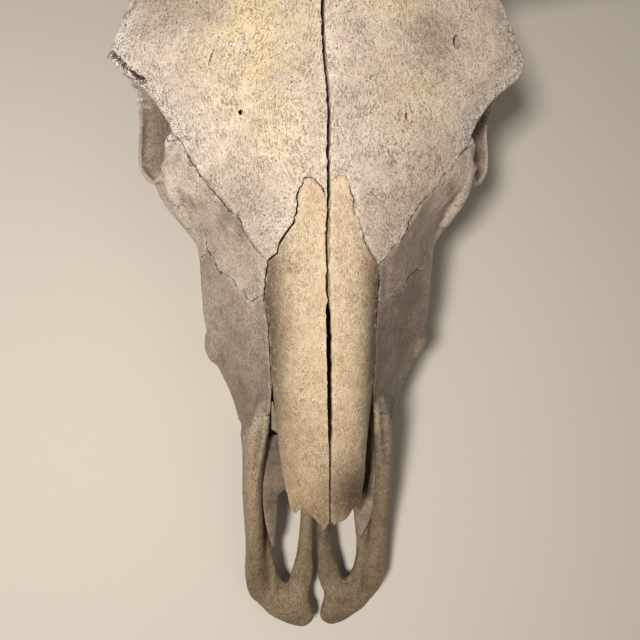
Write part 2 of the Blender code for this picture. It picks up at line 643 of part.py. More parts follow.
def bodies(obj):
    """The separate bodies of obj as bmeshes, largest first."""
    whole = bmesh.new()
    whole.from_mesh(obj.data)
    unseen, found = set(range(len(whole.verts))), []
    whole.verts.ensure_lookup_table()
    while unseen:
        stack = [min(unseen)]
        unseen.discard(stack[0])
        group = set(stack)
        while stack:
            for edge in whole.verts[stack.pop()].link_edges:
                for vert in edge.verts:
                    if vert.index in unseen:
                        unseen.discard(vert.index)
                        group.add(vert.index)
                        stack.append(vert.index)
        part = whole.copy()
        bmesh.ops.delete(part, geom=[v for v in part.verts if v.index not in group], context="VERTS")
        found.append(part)
    whole.free()
    return sorted(found, key=lambda part: -part.calc_volume())


def take(skull, mould):
    """Takes out of the skull what lies in the mould, and leaves the thin cut round it."""
    bone = copy_of(skull, "bone")
    cut(bone, [mould.copy()], "INTERSECT")
    cut(skull, [grown(mould, GAP)])
    return bone


def is_closed(obj):
    """Whether every edge of the object has just two faces."""
    mesh = bmesh.new()
    mesh.from_mesh(obj.data)
    answer = all(edge.is_manifold for edge in mesh.edges)
    mesh.free()
    return answer


def thin_bone(obj):
    """Drops the triangles that the cuts left over, by the first share that leaves the bone closed."""
    whole = obj.data.copy()
    for share in BONE_SHARES:
        obj.data = whole.copy()
        thin_out(obj, share)
        if is_closed(obj):
            return
    obj.data = whole


def keep(name, parts, base_colour):
    """Makes the largest of these bodies the named bone."""
    bmesh.ops.remove_doubles(parts[0], verts=parts[0].verts, dist=0.04 * MM)
    bmesh.ops.dissolve_degenerate(parts[0], edges=parts[0].edges, dist=0.02 * MM)
    bmesh.ops.dissolve_limit(parts[0], verts=parts[0].verts, edges=parts[0].edges, angle_limit=FLAT)
    bmesh.ops.triangulate(parts[0], faces=parts[0].faces)
    obj = object_of(name, [parts[0]])
    for scrap in parts[1:]:
        volume = scrap.calc_volume() * 1e9
        if volume > CRUMB:
            print(f"{name}: a scrap of {volume:.0f} cubic millimetres is left out")
        scrap.free()
    thin_bone(obj)
    lean(obj)
    dress(obj, base_colour)


def dress(obj, base_colour, rough=0.6):
    """Gives obj its own material and smooth shading."""
    material = bpy.data.materials.new(obj.name)
    material.use_nodes = True
    shader = material.node_tree.nodes["Principled BSDF"]
    shader.inputs["Base Color"].default_value = (*base_colour, 1.0)
    shader.inputs["Roughness"].default_value = rough
    shader.inputs["Metallic"].default_value = 0.0
    obj.data.materials.clear()
    obj.data.materials.append(material)
    obj.data.shade_smooth()
    obj.data.set_sharp_from_angle(angle=math.radians(40))


def horn():
    """The left horn's sheath, out from its bony core and up to the tip."""
    sheath = object_of("sheath", [
        bar((97, 455, 184, 27, 24.5), (108, 456, 186, 27.5, 24.5), (128, 458, 189, 26, 23.5),
            (158, 460, 194, 23, 21.5), (190, 459, 205, 19.5, 18.5), (216, 454, 225, 16, 15.5),
            (233, 445, 251, 11.5, 11.5), (239, 435, 275, 7, 7), (240, 429, 289, 3.4, 3.4),
            (240, 427, 294, 0.8, 0.8)),
    ])
    cut(sheath, [bar((60, 452, 177, 27, 22), (92, 454, 183, 26, 22), (115, 456.5, 187, 24, 21.5))])
    return sheath


def clay_skull():
    """The whole skull in one piece, hollowed, thinned out and standing on its flats."""
    skull = object_of("skull", [*face_masses(), *cheek_masses(), *back_masses(), septum()])
    remesh(skull, VOXEL)
    for socket in sockets():
        cut(skull, [socket])
    brow = object_of("brow", brow_masses())
    join(skull, brow)
    remesh(skull, VOXEL)
    soften(skull, 3)
    thin_out(skull, CLAY_TRIANGLES / triangles(skull))
    for opening in openings():
        cut(skull, [opening])
    cut(skull, [nasal_tips()])
    cut(skull, [prism([(-160, -40), (160, -40), (160, 540), (-160, 540)], -40, 0)])
    cut(skull, [midline_crack()])
    return skull


def lean(obj):
    """Leans the finished bone with the rest of the skull."""
    for vert in obj.data.vertices:
        vert.co.x += LEAN(vert.co.y / MM + ORIGIN_S) * MM


def main():
    for old in list(bpy.data.objects):
        bpy.data.objects.remove(old)
    skull = clay_skull()
    for name in ORDER:
        if name in MIDLINE_MOULDS:
            bone = take(skull, MIDLINE_MOULDS[name]())
            keep(name, bodies(bone), IVORY)
            bpy.data.objects.remove(bone)
            continue
        mould = PAIRED_MOULDS[name]
        for side, shape in (("left", mould(1)), ("right", mirrored(mould(-1)))):
            bone = take(skull, shape)
            keep(f"{name}_{side}", bodies(bone), IVORY)
            bpy.data.objects.remove(bone)
    keep("sphenoid", bodies(skull), IVORY)
    bpy.data.objects.remove(skull)
    sheath = horn()
    thin_out(sheath, HORN_TRIANGLES / triangles(sheath))
    keep("horn_right", [mirrored(part) for part in bodies(sheath)], HORN_GREY)
    keep("horn_left", bodies(sheath), HORN_GREY)
    bpy.data.objects.remove(sheath)


if __name__ == "__main__":
    main()
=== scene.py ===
"""The looks of a cow's skull without its lower jaw: weathered bone, worn cheek teeth and ringed horns.

The skull is built up whole from rounded masses, as a sculptor builds in clay, and then parted along
its sutures into its bones. Lengths are in millimetres in the skull's working frame: x runs to the
animal's left, s runs back from the front of the muzzle, and z up from the floor. `at` turns them into
metres in the frame that the skull's solids share.
"""

import logging
import math
import random
from collections.abc import Callable, Iterable, Sequence
from dataclasses import dataclass, field
from enum import Enum
from functools import partial, reduce

import bmesh
import bpy
import numpy as np
from mathutils import Matrix, Vector, noise
from mathutils.kdtree import KDTree

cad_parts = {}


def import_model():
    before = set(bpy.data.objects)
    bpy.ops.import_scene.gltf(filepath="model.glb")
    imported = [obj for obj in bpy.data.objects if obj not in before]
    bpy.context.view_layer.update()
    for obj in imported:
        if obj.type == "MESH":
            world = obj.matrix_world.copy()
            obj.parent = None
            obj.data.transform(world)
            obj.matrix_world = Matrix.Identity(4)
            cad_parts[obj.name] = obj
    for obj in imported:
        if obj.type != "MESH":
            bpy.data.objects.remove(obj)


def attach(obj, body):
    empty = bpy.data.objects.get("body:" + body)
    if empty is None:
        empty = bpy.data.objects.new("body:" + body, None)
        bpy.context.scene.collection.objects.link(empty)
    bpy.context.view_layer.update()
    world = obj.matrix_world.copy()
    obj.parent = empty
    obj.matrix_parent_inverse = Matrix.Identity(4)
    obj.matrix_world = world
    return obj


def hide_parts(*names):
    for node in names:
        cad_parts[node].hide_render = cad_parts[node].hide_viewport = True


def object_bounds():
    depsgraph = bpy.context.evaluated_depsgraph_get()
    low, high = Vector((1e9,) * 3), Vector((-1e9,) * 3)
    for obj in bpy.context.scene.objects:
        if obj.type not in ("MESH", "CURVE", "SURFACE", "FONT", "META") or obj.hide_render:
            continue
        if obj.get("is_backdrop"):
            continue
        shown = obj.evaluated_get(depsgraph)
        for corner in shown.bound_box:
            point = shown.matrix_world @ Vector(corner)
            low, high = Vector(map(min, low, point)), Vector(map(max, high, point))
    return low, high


log = logging.getLogger("cow_skull")

MM = 0.001
ORIGIN_S = 247.0    # the middle of the skull's length, from which y is measured
GRAIN = 1.25        # the clay's voxel
CUT = 0.32          # the gap along a suture that has begun to open
CLOSED = 0.06       # the gap along one that is still tight
CREASE = 50.0       # degrees between two faces past which their edge stays sharp
ROUND = 180.0       # the same for a piece whose edges are all smooth

Mesh = bmesh.types.BMesh
Material = bpy.types.Material
Piece = bpy.types.Object
Point = tuple[float, ...]
Points = tuple[Point, ...]
Pair = tuple[float, float]
Outline = Sequence[Pair]


# ---------------------------------------------------------------- measures
class Curve:
    """A smooth function through (place, value) knots, which never swings past them."""

    def __init__(self, *knots: Pair) -> None:
        """Works out a slope at each knot.

        Args:
            knots: the (place, value) pairs, in rising order of place.
        """
        self.places, self.values = np.array(knots, float).T
        steps = np.diff(self.values) / np.diff(self.places)
        before, after = steps[:-1], steps[1:]
        rising = before * after > 0
        inner = np.where(rising, 2 * before * after / np.where(rising, before + after, 1.0), 0.0)
        self.slopes = np.concatenate([steps[:1], inner, steps[-1:]])

    def __call__(self, place: float | np.ndarray) -> float | np.ndarray:
        """The curve's value.

        Args:
            place: a place, or an array of places.

        Returns:
            The value at each.
        """
        place = np.clip(place, self.places[0], self.places[-1])
        i = np.clip(np.searchsorted(self.places, place, side="right") - 1, 0, len(self.places) - 2)
        width = self.places[i + 1] - self.places[i]
        t = (place - self.places[i]) / width
        rise = (self.values[i + 1] - self.values[i]) * t * t * (3 - 2 * t)
        bend = width * t * (1 - t) * (self.slopes[i] * (1 - t) - self.slopes[i + 1] * t)
        return self.values[i] + rise + bend


def at(x: float, s: float, z: float) -> Vector:
    """The place in metres, in the shared frame, of a place on the skull in millimetres."""
    return Vector((x, s - ORIGIN_S, z)) * MM


# How far the whole skull leans to its left: the muzzle points a little to the right of the forehead.
LEAN = Curve(
    (-6, -1.6), (25, -2.0), (60, -1.5), (150, 0), (240, 0.8), (300, 2), (350, 3), (385, 3), (424, 0),
    (510, 0))


class Side(Enum):
    """The animal's two sides. The value is the sign of x there."""

    LEFT = 1
    RIGHT = -1

    @property
    def word(self) -> str:
        """The side as it stands in a node's name."""
        return self.name.lower()


class Keep(Enum):
    """What a cut leaves of a shape. The value is the Boolean's operation."""

    OUTSIDE = "DIFFERENCE"
    INSIDE = "INTERSECT"


# ---------------------------------------------------------------- clay tools
def turns(count: int) -> list[float]:
    """Equal steps round a full turn, in radians."""
    return [2 * math.pi * k / count for k in range(count)]


def boxy(value: float, power: float) -> float:
    """A sine or cosine drawn out towards 1 or -1, which squares off a round section."""
    return math.copysign(abs(value) ** power, value)


def wrap(rings: Sequence[Sequence[Vector]]) -> Mesh:
    """A closed mesh round rings of equally many points: a grid bent round, seam and ends closed.

    Args:
        rings: the rings in order, each a loop of points.

    Returns:
        The mesh, its faces pointing out.
    """
    around, along = len(rings[0]), len(rings)
    mesh = bmesh.new()
    bmesh.ops.create_grid(mesh, x_segments=around, y_segments=along - 1, size=1.0)
    for vert in mesh.verts:
        i = round((vert.co.x + 1) / 2 * around) % around
        j = round((vert.co.y + 1) / 2 * (along - 1))
        vert.co = rings[j][i]
    bmesh.ops.remove_doubles(mesh, verts=mesh.verts, dist=0.002 * MM)
    bmesh.ops.holes_fill(mesh, edges=[edge for edge in mesh.edges if edge.is_boundary], sides=0)
    bmesh.ops.recalc_face_normals(mesh, faces=mesh.faces)
    return mesh


def loft(section: Callable[[float], Outline], first: float, last: float, spacing: float = 4.0,
         ) -> Mesh:
    """The closed (x, z) section at each place s, wrapped.

    Args:
        section: gives the outline at a place s.
        first: the first place.
        last: the last place.
        spacing: how far apart the sections are.

    Returns:
        The closed mesh.
    """
    count = max(2, round((last - first) / spacing))
    places = [first + (last - first) * i / count for i in range(count + 1)]
    return wrap([[at(x, s, z) for x, z in section(s)] for s in places])


def flowing(points: Sequence[Point], between: int = 6) -> list[list[float]]:
    """A Catmull-Rom line through points of any number of values.

    Args:
        points: the points that it passes through.
        between: how many steps lead from each point to the next.

    Returns:
        The line's points.
    """
    ends = [points[0], *points, points[-1]]
    out = []
    for a, b, c, d in zip(ends, ends[1:], ends[2:], ends[3:]):
        for i in range(between):
            t = i / between
            out.append([
                0.5 * (2 * q + (r - p) * t + (2 * p - 5 * q + 4 * r - w) * t * t
                       + (3 * (q - r) - p + w) * t ** 3)
                for p, q, r, w in zip(a, b, c, d)
            ])
    return [*out, list(points[-1])]


def frames(places: Sequence[Vector], up: Point = (0, 0, 1)) -> list[tuple[Vector, Vector, Vector]]:
    """The directions ahead, across and upwards at each place of a line.

    Args:
        places: the line's places.
        up: the direction that the third one leans to.

    Returns:
        The three directions for each place.
    """
    out = []
    for i in range(len(places)):
        ahead = (places[min(i + 1, len(places) - 1)] - places[max(i - 1, 0)]).normalized()
        across = ahead.cross(Vector(up)).normalized()
        out.append((ahead, across, across.cross(ahead)))
    return out


def bar(*points: Point, up: Point = (0, 0, 1), around: int = 24) -> Mesh:
    """A rounded bar through points (x, s, z, half width, half height).

    Args:
        points: the places on its middle line with its half sizes there.
        up: the direction that its height leans to.
        around: how many points each ring has.

    Returns:
        The closed mesh.
    """
    line = flowing(points)
    places = [at(*p[:3]) for p in line]
    rings = []
    for place, (_, across, lift), values in zip(places, frames(places, up), line):
        wide, high = (max(v, 0.1) * MM for v in values[3:])
        rings.append([place + across * wide * math.cos(t) + lift * high * math.sin(t) for t in turns(around)])
    return wrap(rings)


def band(*points: Point, around: int = 24) -> Mesh:
    """A thin-edged band through points (x, s, z of its outer edge, then of its inner edge, half thickness).

    Args:
        points: the places along it.
        around: how many points each ring has.

    Returns:
        The closed mesh.
    """
    line = flowing(points)
    pairs = [(at(*p[:3]), at(*p[3:6])) for p in line]
    middles = [(outer + inner) / 2 for outer, inner in pairs]
    rings = []
    for middle, (outer, inner), (ahead, _, _), values in zip(middles, pairs, frames(middles), line):
        reach = (outer - inner) / 2
        side = ahead.cross(reach).normalized() * values[6] * MM
        rings.append([middle + reach * boxy(math.cos(t), 0.6) + side * boxy(math.sin(t), 0.8)
                      for t in turns(around)])
    return wrap(rings)


def ball(centre: Point, radii: Point, turn: Point = (0, 0, 0)) -> Mesh:
    """An ellipsoid.

    Args:
        centre: its middle.
        radii: its half sizes along x, s and z.
        turn: degrees about x, y and z.

    Returns:
        The closed mesh.
    """
    mesh = bmesh.new()
    bmesh.ops.create_icosphere(mesh, subdivisions=4, radius=1.0)
    bmesh.ops.scale(mesh, verts=mesh.verts, vec=Vector(radii) * MM)
    for axis, angle in zip("XYZ", turn):
        bmesh.ops.rotate(mesh, verts=mesh.verts, matrix=Matrix.Rotation(math.radians(angle), 3, axis))
    bmesh.ops.translate(mesh, verts=mesh.verts, vec=at(*centre))
    return mesh


def mirrored(mesh: Mesh) -> Mesh:
    """A copy of the shape on the animal's other side.

    Args:
        mesh: a shape, which stays as it is.

    Returns:
        The twin.
    """
    twin = mesh.copy()
    bmesh.ops.scale(twin, verts=twin.verts, vec=(-1, 1, 1))
    bmesh.ops.reverse_faces(twin, faces=twin.faces)
    return twin


def paired(*meshes: Mesh) -> list[Mesh]:
    """These shapes of the animal's left and their twins."""
    return [*meshes, *(mirrored(mesh) for mesh in meshes)]


def extruded(corners: Sequence[Vector], far: Callable[[Vector], Vector]) -> Mesh:
    """A block between an outline and its moved copy.

    Args:
        corners: the outline's corners.
        far: gives the place of a corner's copy.

    Returns:
        The closed mesh.
    """
    mesh = bmesh.new()
    face = mesh.faces.new([mesh.verts.new(corner) for corner in corners])
    for item in bmesh.ops.extrude_face_region(mesh, geom=[face])["geom"]:
        if isinstance(item, bmesh.types.BMVert):
            item.co = far(item.co)
    bmesh.ops.triangulate(mesh, faces=mesh.faces)
    bmesh.ops.recalc_face_normals(mesh, faces=mesh.faces)
    return mesh


def prism(outline: Outline, low: float | Callable[[float, float], float], high: float) -> Mesh:
    """An upright block on a plan outline.

    Args:
        outline: (x, s) points.
        low: its lower level, or a sloped plane as a function of x and s.
        high: its upper level.

    Returns:
        The closed mesh.
    """
    foot = [at(x, s, low(x, s) if callable(low) else low) for x, s in outline]
    return extruded(foot, lambda corner: Vector((corner.x, corner.y, high * MM)))


def side_prism(outline: Outline, inner: float, outer: float) -> Mesh:
    """A block on an outline in side view.

    Args:
        outline: (s, z) points.
        inner: its x on one face.
        outer: its x on the other.

    Returns:
        The closed mesh.
    """
    foot = [at(inner, s, z) for s, z in outline]
    return extruded(foot, lambda corner: Vector((outer * MM, corner.y, corner.z)))


def waver(place: float, seed: float) -> float:
    """A smooth irregular wave between about -1 and 1."""
    return 2 * noise.noise(Vector((place, seed, 0.5 * seed)))


def wavy(points: Outline, rough: float, seed: float, step: float = 1.6) -> list[Pair]:
    """A line through these points that wanders as a suture does.

    Args:
        points: the places that it passes through.
        rough: how far it wanders.
        seed: chooses the wander.
        step: how far apart its points are.

    Returns:
        The line's points, ends kept.
    """
    out, run = [], 0.0
    for a, b in zip(points, points[1:]):
        length = math.dist(a, b)
        count = max(1, round(length / step))
        side = ((a[1] - b[1]) / length, (b[0] - a[0]) / length)
        for i in range(count):
            t = i / count
            here = run + length * t
            off = rough * (waver(here / 7, seed) + 0.5 * waver(here / 2.6, seed + 9))
            out.append((a[0] + (b[0] - a[0]) * t + side[0] * off, a[1] + (b[1] - a[1]) * t + side[1] * off))
        run += length
    return [points[0], *out[1:], points[-1]]


def grown(mesh: Mesh, by: float) -> Mesh:
    """A copy of the mesh, larger on every side.

    Args:
        mesh: a shape, which stays as it is.
        by: how much larger, in millimetres.

    Returns:
        The copy.
    """
    larger = mesh.copy()
    larger.normal_update()
    moves = [(vert, vert.normal * vert.calc_shell_factor() * by * MM) for vert in larger.verts]
    for vert, move in moves:
        vert.co += move
    return larger


class Clay:
    """One mesh object while it is being modelled."""

    def __init__(self, name: str, meshes: Iterable[Mesh]) -> None:
        """Puts all these shapes in one object.

        Args:
            name: the object's name.
            meshes: the shapes, which are used up.
        """
        joined = bmesh.new()
        for mesh in meshes:
            self._pour(mesh, joined)
        data = bpy.data.meshes.new(name)
        joined.to_mesh(data)
        joined.free()
        self.obj = bpy.data.objects.new(name, data)
        bpy.context.scene.collection.objects.link(self.obj)

    @staticmethod
    def _pour(mesh: Mesh, into: Mesh) -> None:
        """Adds one bmesh to another and frees it.

        Args:
            mesh: the one that is used up.
            into: the one that grows.
        """
        data = bpy.data.meshes.new("pour")
        mesh.to_mesh(data)
        mesh.free()
        into.from_mesh(data)
        bpy.data.meshes.remove(data)

    def copy(self, name: str) -> "Clay":
        """A separate object of the same shape.

        Args:
            name: its object's name.

        Returns:
            The copy.
        """
        mesh = bmesh.new()
        mesh.from_mesh(self.obj.data)
        return Clay(name, [mesh])

    def settle(self) -> None:
        """Applies the object's modifiers."""
        graph = bpy.context.evaluated_depsgraph_get()
        data = bpy.data.meshes.new_from_object(self.obj.evaluated_get(graph))
        self.obj.modifiers.clear()
        old, self.obj.data = self.obj.data, data
        bpy.data.meshes.remove(old)

    def add(self, meshes: Iterable[Mesh]) -> None:
        """Adds more masses, as they are.

        Args:
            meshes: the shapes, which are used up.
        """
        mesh = bmesh.new()
        mesh.from_mesh(self.obj.data)
        for more in meshes:
            self._pour(more, mesh)
        mesh.to_mesh(self.obj.data)
        mesh.free()

    def fuse(self, voxel: float) -> None:
        """Joins the overlapping masses into one skin.

        Args:
            voxel: its grain in millimetres.
        """
        modifier = self.obj.modifiers.new("fuse", "REMESH")
        modifier.mode = "VOXEL"
        modifier.voxel_size = voxel * MM
        self.settle()

    def soften(self, times: int) -> None:
        """Smooths the joins between the masses.

        Args:
            times: how many rounds of smoothing it gets.
        """
        modifier = self.obj.modifiers.new("soften", "SMOOTH")
        modifier.iterations = times
        self.settle()

    def ripple(self, high: float, long: float) -> None:
        """Gives the skin low irregular swells.

        Args:
            high: how far they rise and fall.
            long: how far apart they are.
        """
        texture = bpy.data.textures.new("swell", "CLOUDS")
        texture.noise_scale = long * MM
        texture.noise_depth = 2
        modifier = self.obj.modifiers.new("swell", "DISPLACE")
        modifier.texture = texture
        modifier.texture_coords = "LOCAL"
        modifier.strength = 2 * high * MM
        modifier.mid_level = 0.5
        self.settle()
        bpy.data.textures.remove(texture)

    def cut(self, meshes: Iterable[Mesh], keep: Keep = Keep.OUTSIDE) -> None:
        """A Boolean with the joined shapes.

        Args:
            meshes: the shapes, which are used up and don't overlap each other.
            keep: which part of this one stays.
        """
        cutter = Clay("cutter", meshes)
        modifier = self.obj.modifiers.new("cut", "BOOLEAN")
        modifier.operation = keep.value
        modifier.solver = "MANIFOLD"
        modifier.object = cutter.obj
        self.settle()
        bpy.data.meshes.remove(cutter.obj.data)

    def lean(self) -> None:
        """Leans the whole skull as the real one does."""
        count = len(self.obj.data.vertices)
        places = np.empty(count * 3, np.float32)
        self.obj.data.vertices.foreach_get("co", places)
        places = places.reshape(-1, 3)
        places[:, 0] += LEAN(places[:, 1] / MM + ORIGIN_S) * MM
        self.obj.data.vertices.foreach_set("co", places.ravel())
        self.obj.data.update()

    def take(self, mould: Mesh, gap: float = CUT) -> "Clay":
        """Takes out what lies in the mould, and leaves a thin cut round it.

        Args:
            mould: the closed shape round the bone.
            gap: the width of the cut.

        Returns:
            What was in the mould.
        """
        bone = self.copy("bone")
        bone.cut([mould.copy()], Keep.INSIDE)
        self.cut([grown(mould, gap)])
        mould.free()
        return bone

    def largest(self) -> None:
        """Keeps only the largest of the separate bodies."""
        mesh = bmesh.new()
        mesh.from_mesh(self.obj.data)
        mesh.verts.ensure_lookup_table()
        group = np.full(len(mesh.verts), -1)
        sizes = []
        for start in range(len(mesh.verts)):
            if group[start] >= 0:
                continue
            group[start] = len(sizes)
            stack, size = [start], 0
            while stack:
                size += 1
                for edge in mesh.verts[stack.pop()].link_edges:
                    for vert in edge.verts:
                        if group[vert.index] < 0:
                            group[vert.index] = len(sizes)
                            stack.append(vert.index)
            sizes.append(size)
        best = int(np.argmax(sizes))
        stray = [mesh.verts[int(i)] for i in np.nonzero(group != best)[0]]
        bmesh.ops.delete(mesh, geom=stray, context="VERTS")
        mesh.to_mesh(self.obj.data)
        mesh.free()

    def finish(self, material: Material, slot: str, node: str = "",
               crease: float = CREASE) -> Piece:
        """Gives the finished shape its material, smooth faces and its place on the skull.

        Args:
            material: what it is made of.
            slot: its material slot; not used.
            node: the node that it replaces, if it replaces one.
            crease: how sharp an edge has to be to stay sharp, in degrees.

        Returns:
            The piece.
        """
        self.obj.data.materials.clear()
        self.obj.data.materials.append(material)
        self.obj.data.shade_smooth()
        self.obj.data.set_sharp_from_angle(angle=math.radians(crease))
        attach(self.obj, "root")
        if node:
            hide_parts(node)
        return self.obj


# ---------------------------------------------------------------- masses
@dataclass
class Roof:
    """The top of the skull, from the tips of the nasal bones to the poll."""

    ridge_z: Curve = Curve(
        (60, 89), (77, 95), (110, 106), (150, 121), (190, 137), (240, 155), (280, 166), (320, 175),
        (350, 182), (400, 191), (450, 198), (480, 201), (497, 196))
    nasal_half: Curve = Curve(
        (70, 21.5), (80, 23.5), (92, 25), (112, 27.6), (140, 30.4), (165, 32.5), (190, 33.5), (215, 35),
        (262, 35))
    nasal_drop: Curve = Curve((70, 8), (100, 12), (140, 15), (200, 15), (236, 11), (262, 6))
    half: Curve = Curve(
        (226, 34), (240, 40), (250, 46), (265, 56), (280, 67), (293, 77), (306, 86), (319, 93), (330, 100),
        (337, 107), (344, 116), (349, 122), (356, 123), (366, 119), (385, 111), (398, 103), (410, 98),
        (425, 94), (440, 91), (460, 92), (478, 88), (490, 76), (498, 52))
    drop: Curve = Curve(
        (226, 14), (240, 9), (250, 8), (265, 11), (280, 14), (306, 21), (335, 24), (352, 25), (375, 24),
        (400, 21), (440, 15), (480, 13), (498, 12))
    thick: Curve = Curve((226, 8), (262, 12), (300, 22), (350, 26), (498, 26))
    edge: Curve = Curve((226, 6), (300, 7), (350, 9), (400, 13), (450, 22), (498, 20))

    def _plate(self, s: float, half: float, drop: float, thick: float, edge: float,
               fall: float = 2.3) -> list[Pair]:
        """A domed plate's section, thick in its middle and thinner at its edges, where it falls away.

        Args:
            s: the place.
            half: its half width.
            drop: how far its edges lie below its middle.
            thick: its thickness in the middle.
            edge: its thickness at the edges.
            fall: how late it falls away: 2 is a plain arch, more is flatter.

        Returns:
            The section's outline.
        """
        across = [-1 + i / 12 for i in range(25)]
        top = [(half * f, self.ridge_z(s) - drop * abs(f) ** fall) for f in across]
        below = [(half * f * 0.97, z - edge - (thick - edge) * (1 - f * f)) for f, (_, z) in zip(across, top)]
        return [*top, *reversed(below)]

    def nose(self) -> list[Mesh]:
        """The two nasal bones as one arched plate."""
        return [loft(lambda s: self._plate(s, self.nasal_half(s), self.nasal_drop(s), 5.5, 4.5, 3.4),
                     70, 264)]

    def forehead(self) -> list[Mesh]:
        """The forehead, out to the rims of the eye sockets."""
        return [loft(lambda s: self._plate(s, self.half(s), self.drop(s), self.thick(s), self.edge(s)),
                     226, 498)]

    def rims(self) -> list[Mesh]:
        """The flared wall round each eye socket, from the tear bone down, back and up to the brow.

        Returns:
            The wall, its edge and the knob at its front, on both sides.
        """
        knob = bar((79, 313, 151, 5, 4), (83.5, 307, 145, 6.5, 6), (86, 300, 139, 8, 7), (88, 292, 130, 8, 8),
                   (89, 283, 117, 6, 7.5), (84, 272, 104, 4, 6))
        wall = band(
            (84, 311, 152, 75, 314, 149, 3.5), (93, 309, 146, 78, 312, 141, 4),
            (95, 302, 136, 78, 306, 129, 4.5), (97, 296, 122, 79, 303, 114, 4.0),
            (105, 296, 112, 85, 306, 101, 3.4), (111.5, 304, 110, 90, 311, 96, 2.6),
            (114, 314, 108.5, 90, 319, 92, 2.2), (114, 328, 109, 90, 330, 91, 2.2),
            (113, 340, 115, 91, 341, 98, 2.3), (113, 348, 127, 92, 347, 115, 2.8),
            (115.5, 353, 141, 95, 351, 136, 3.4), (119, 355, 153, 97, 355, 150, 4.5))
        edge = bar(
            (96, 297, 127, 2.2, 2.2), (105, 296, 115.5, 1.8, 1.8), (112.5, 304, 112, 1.6, 1.6),
            (115, 314, 110.5, 1.5, 1.5), (115, 328, 111, 1.5, 1.5), (114, 340, 117, 1.5, 1.5),
            (114, 348, 128.5, 1.7, 1.7), (116.3, 353, 142, 2.2, 2.2), (119.5, 355, 154, 3, 3))
        return paired(wall, edge, knob)


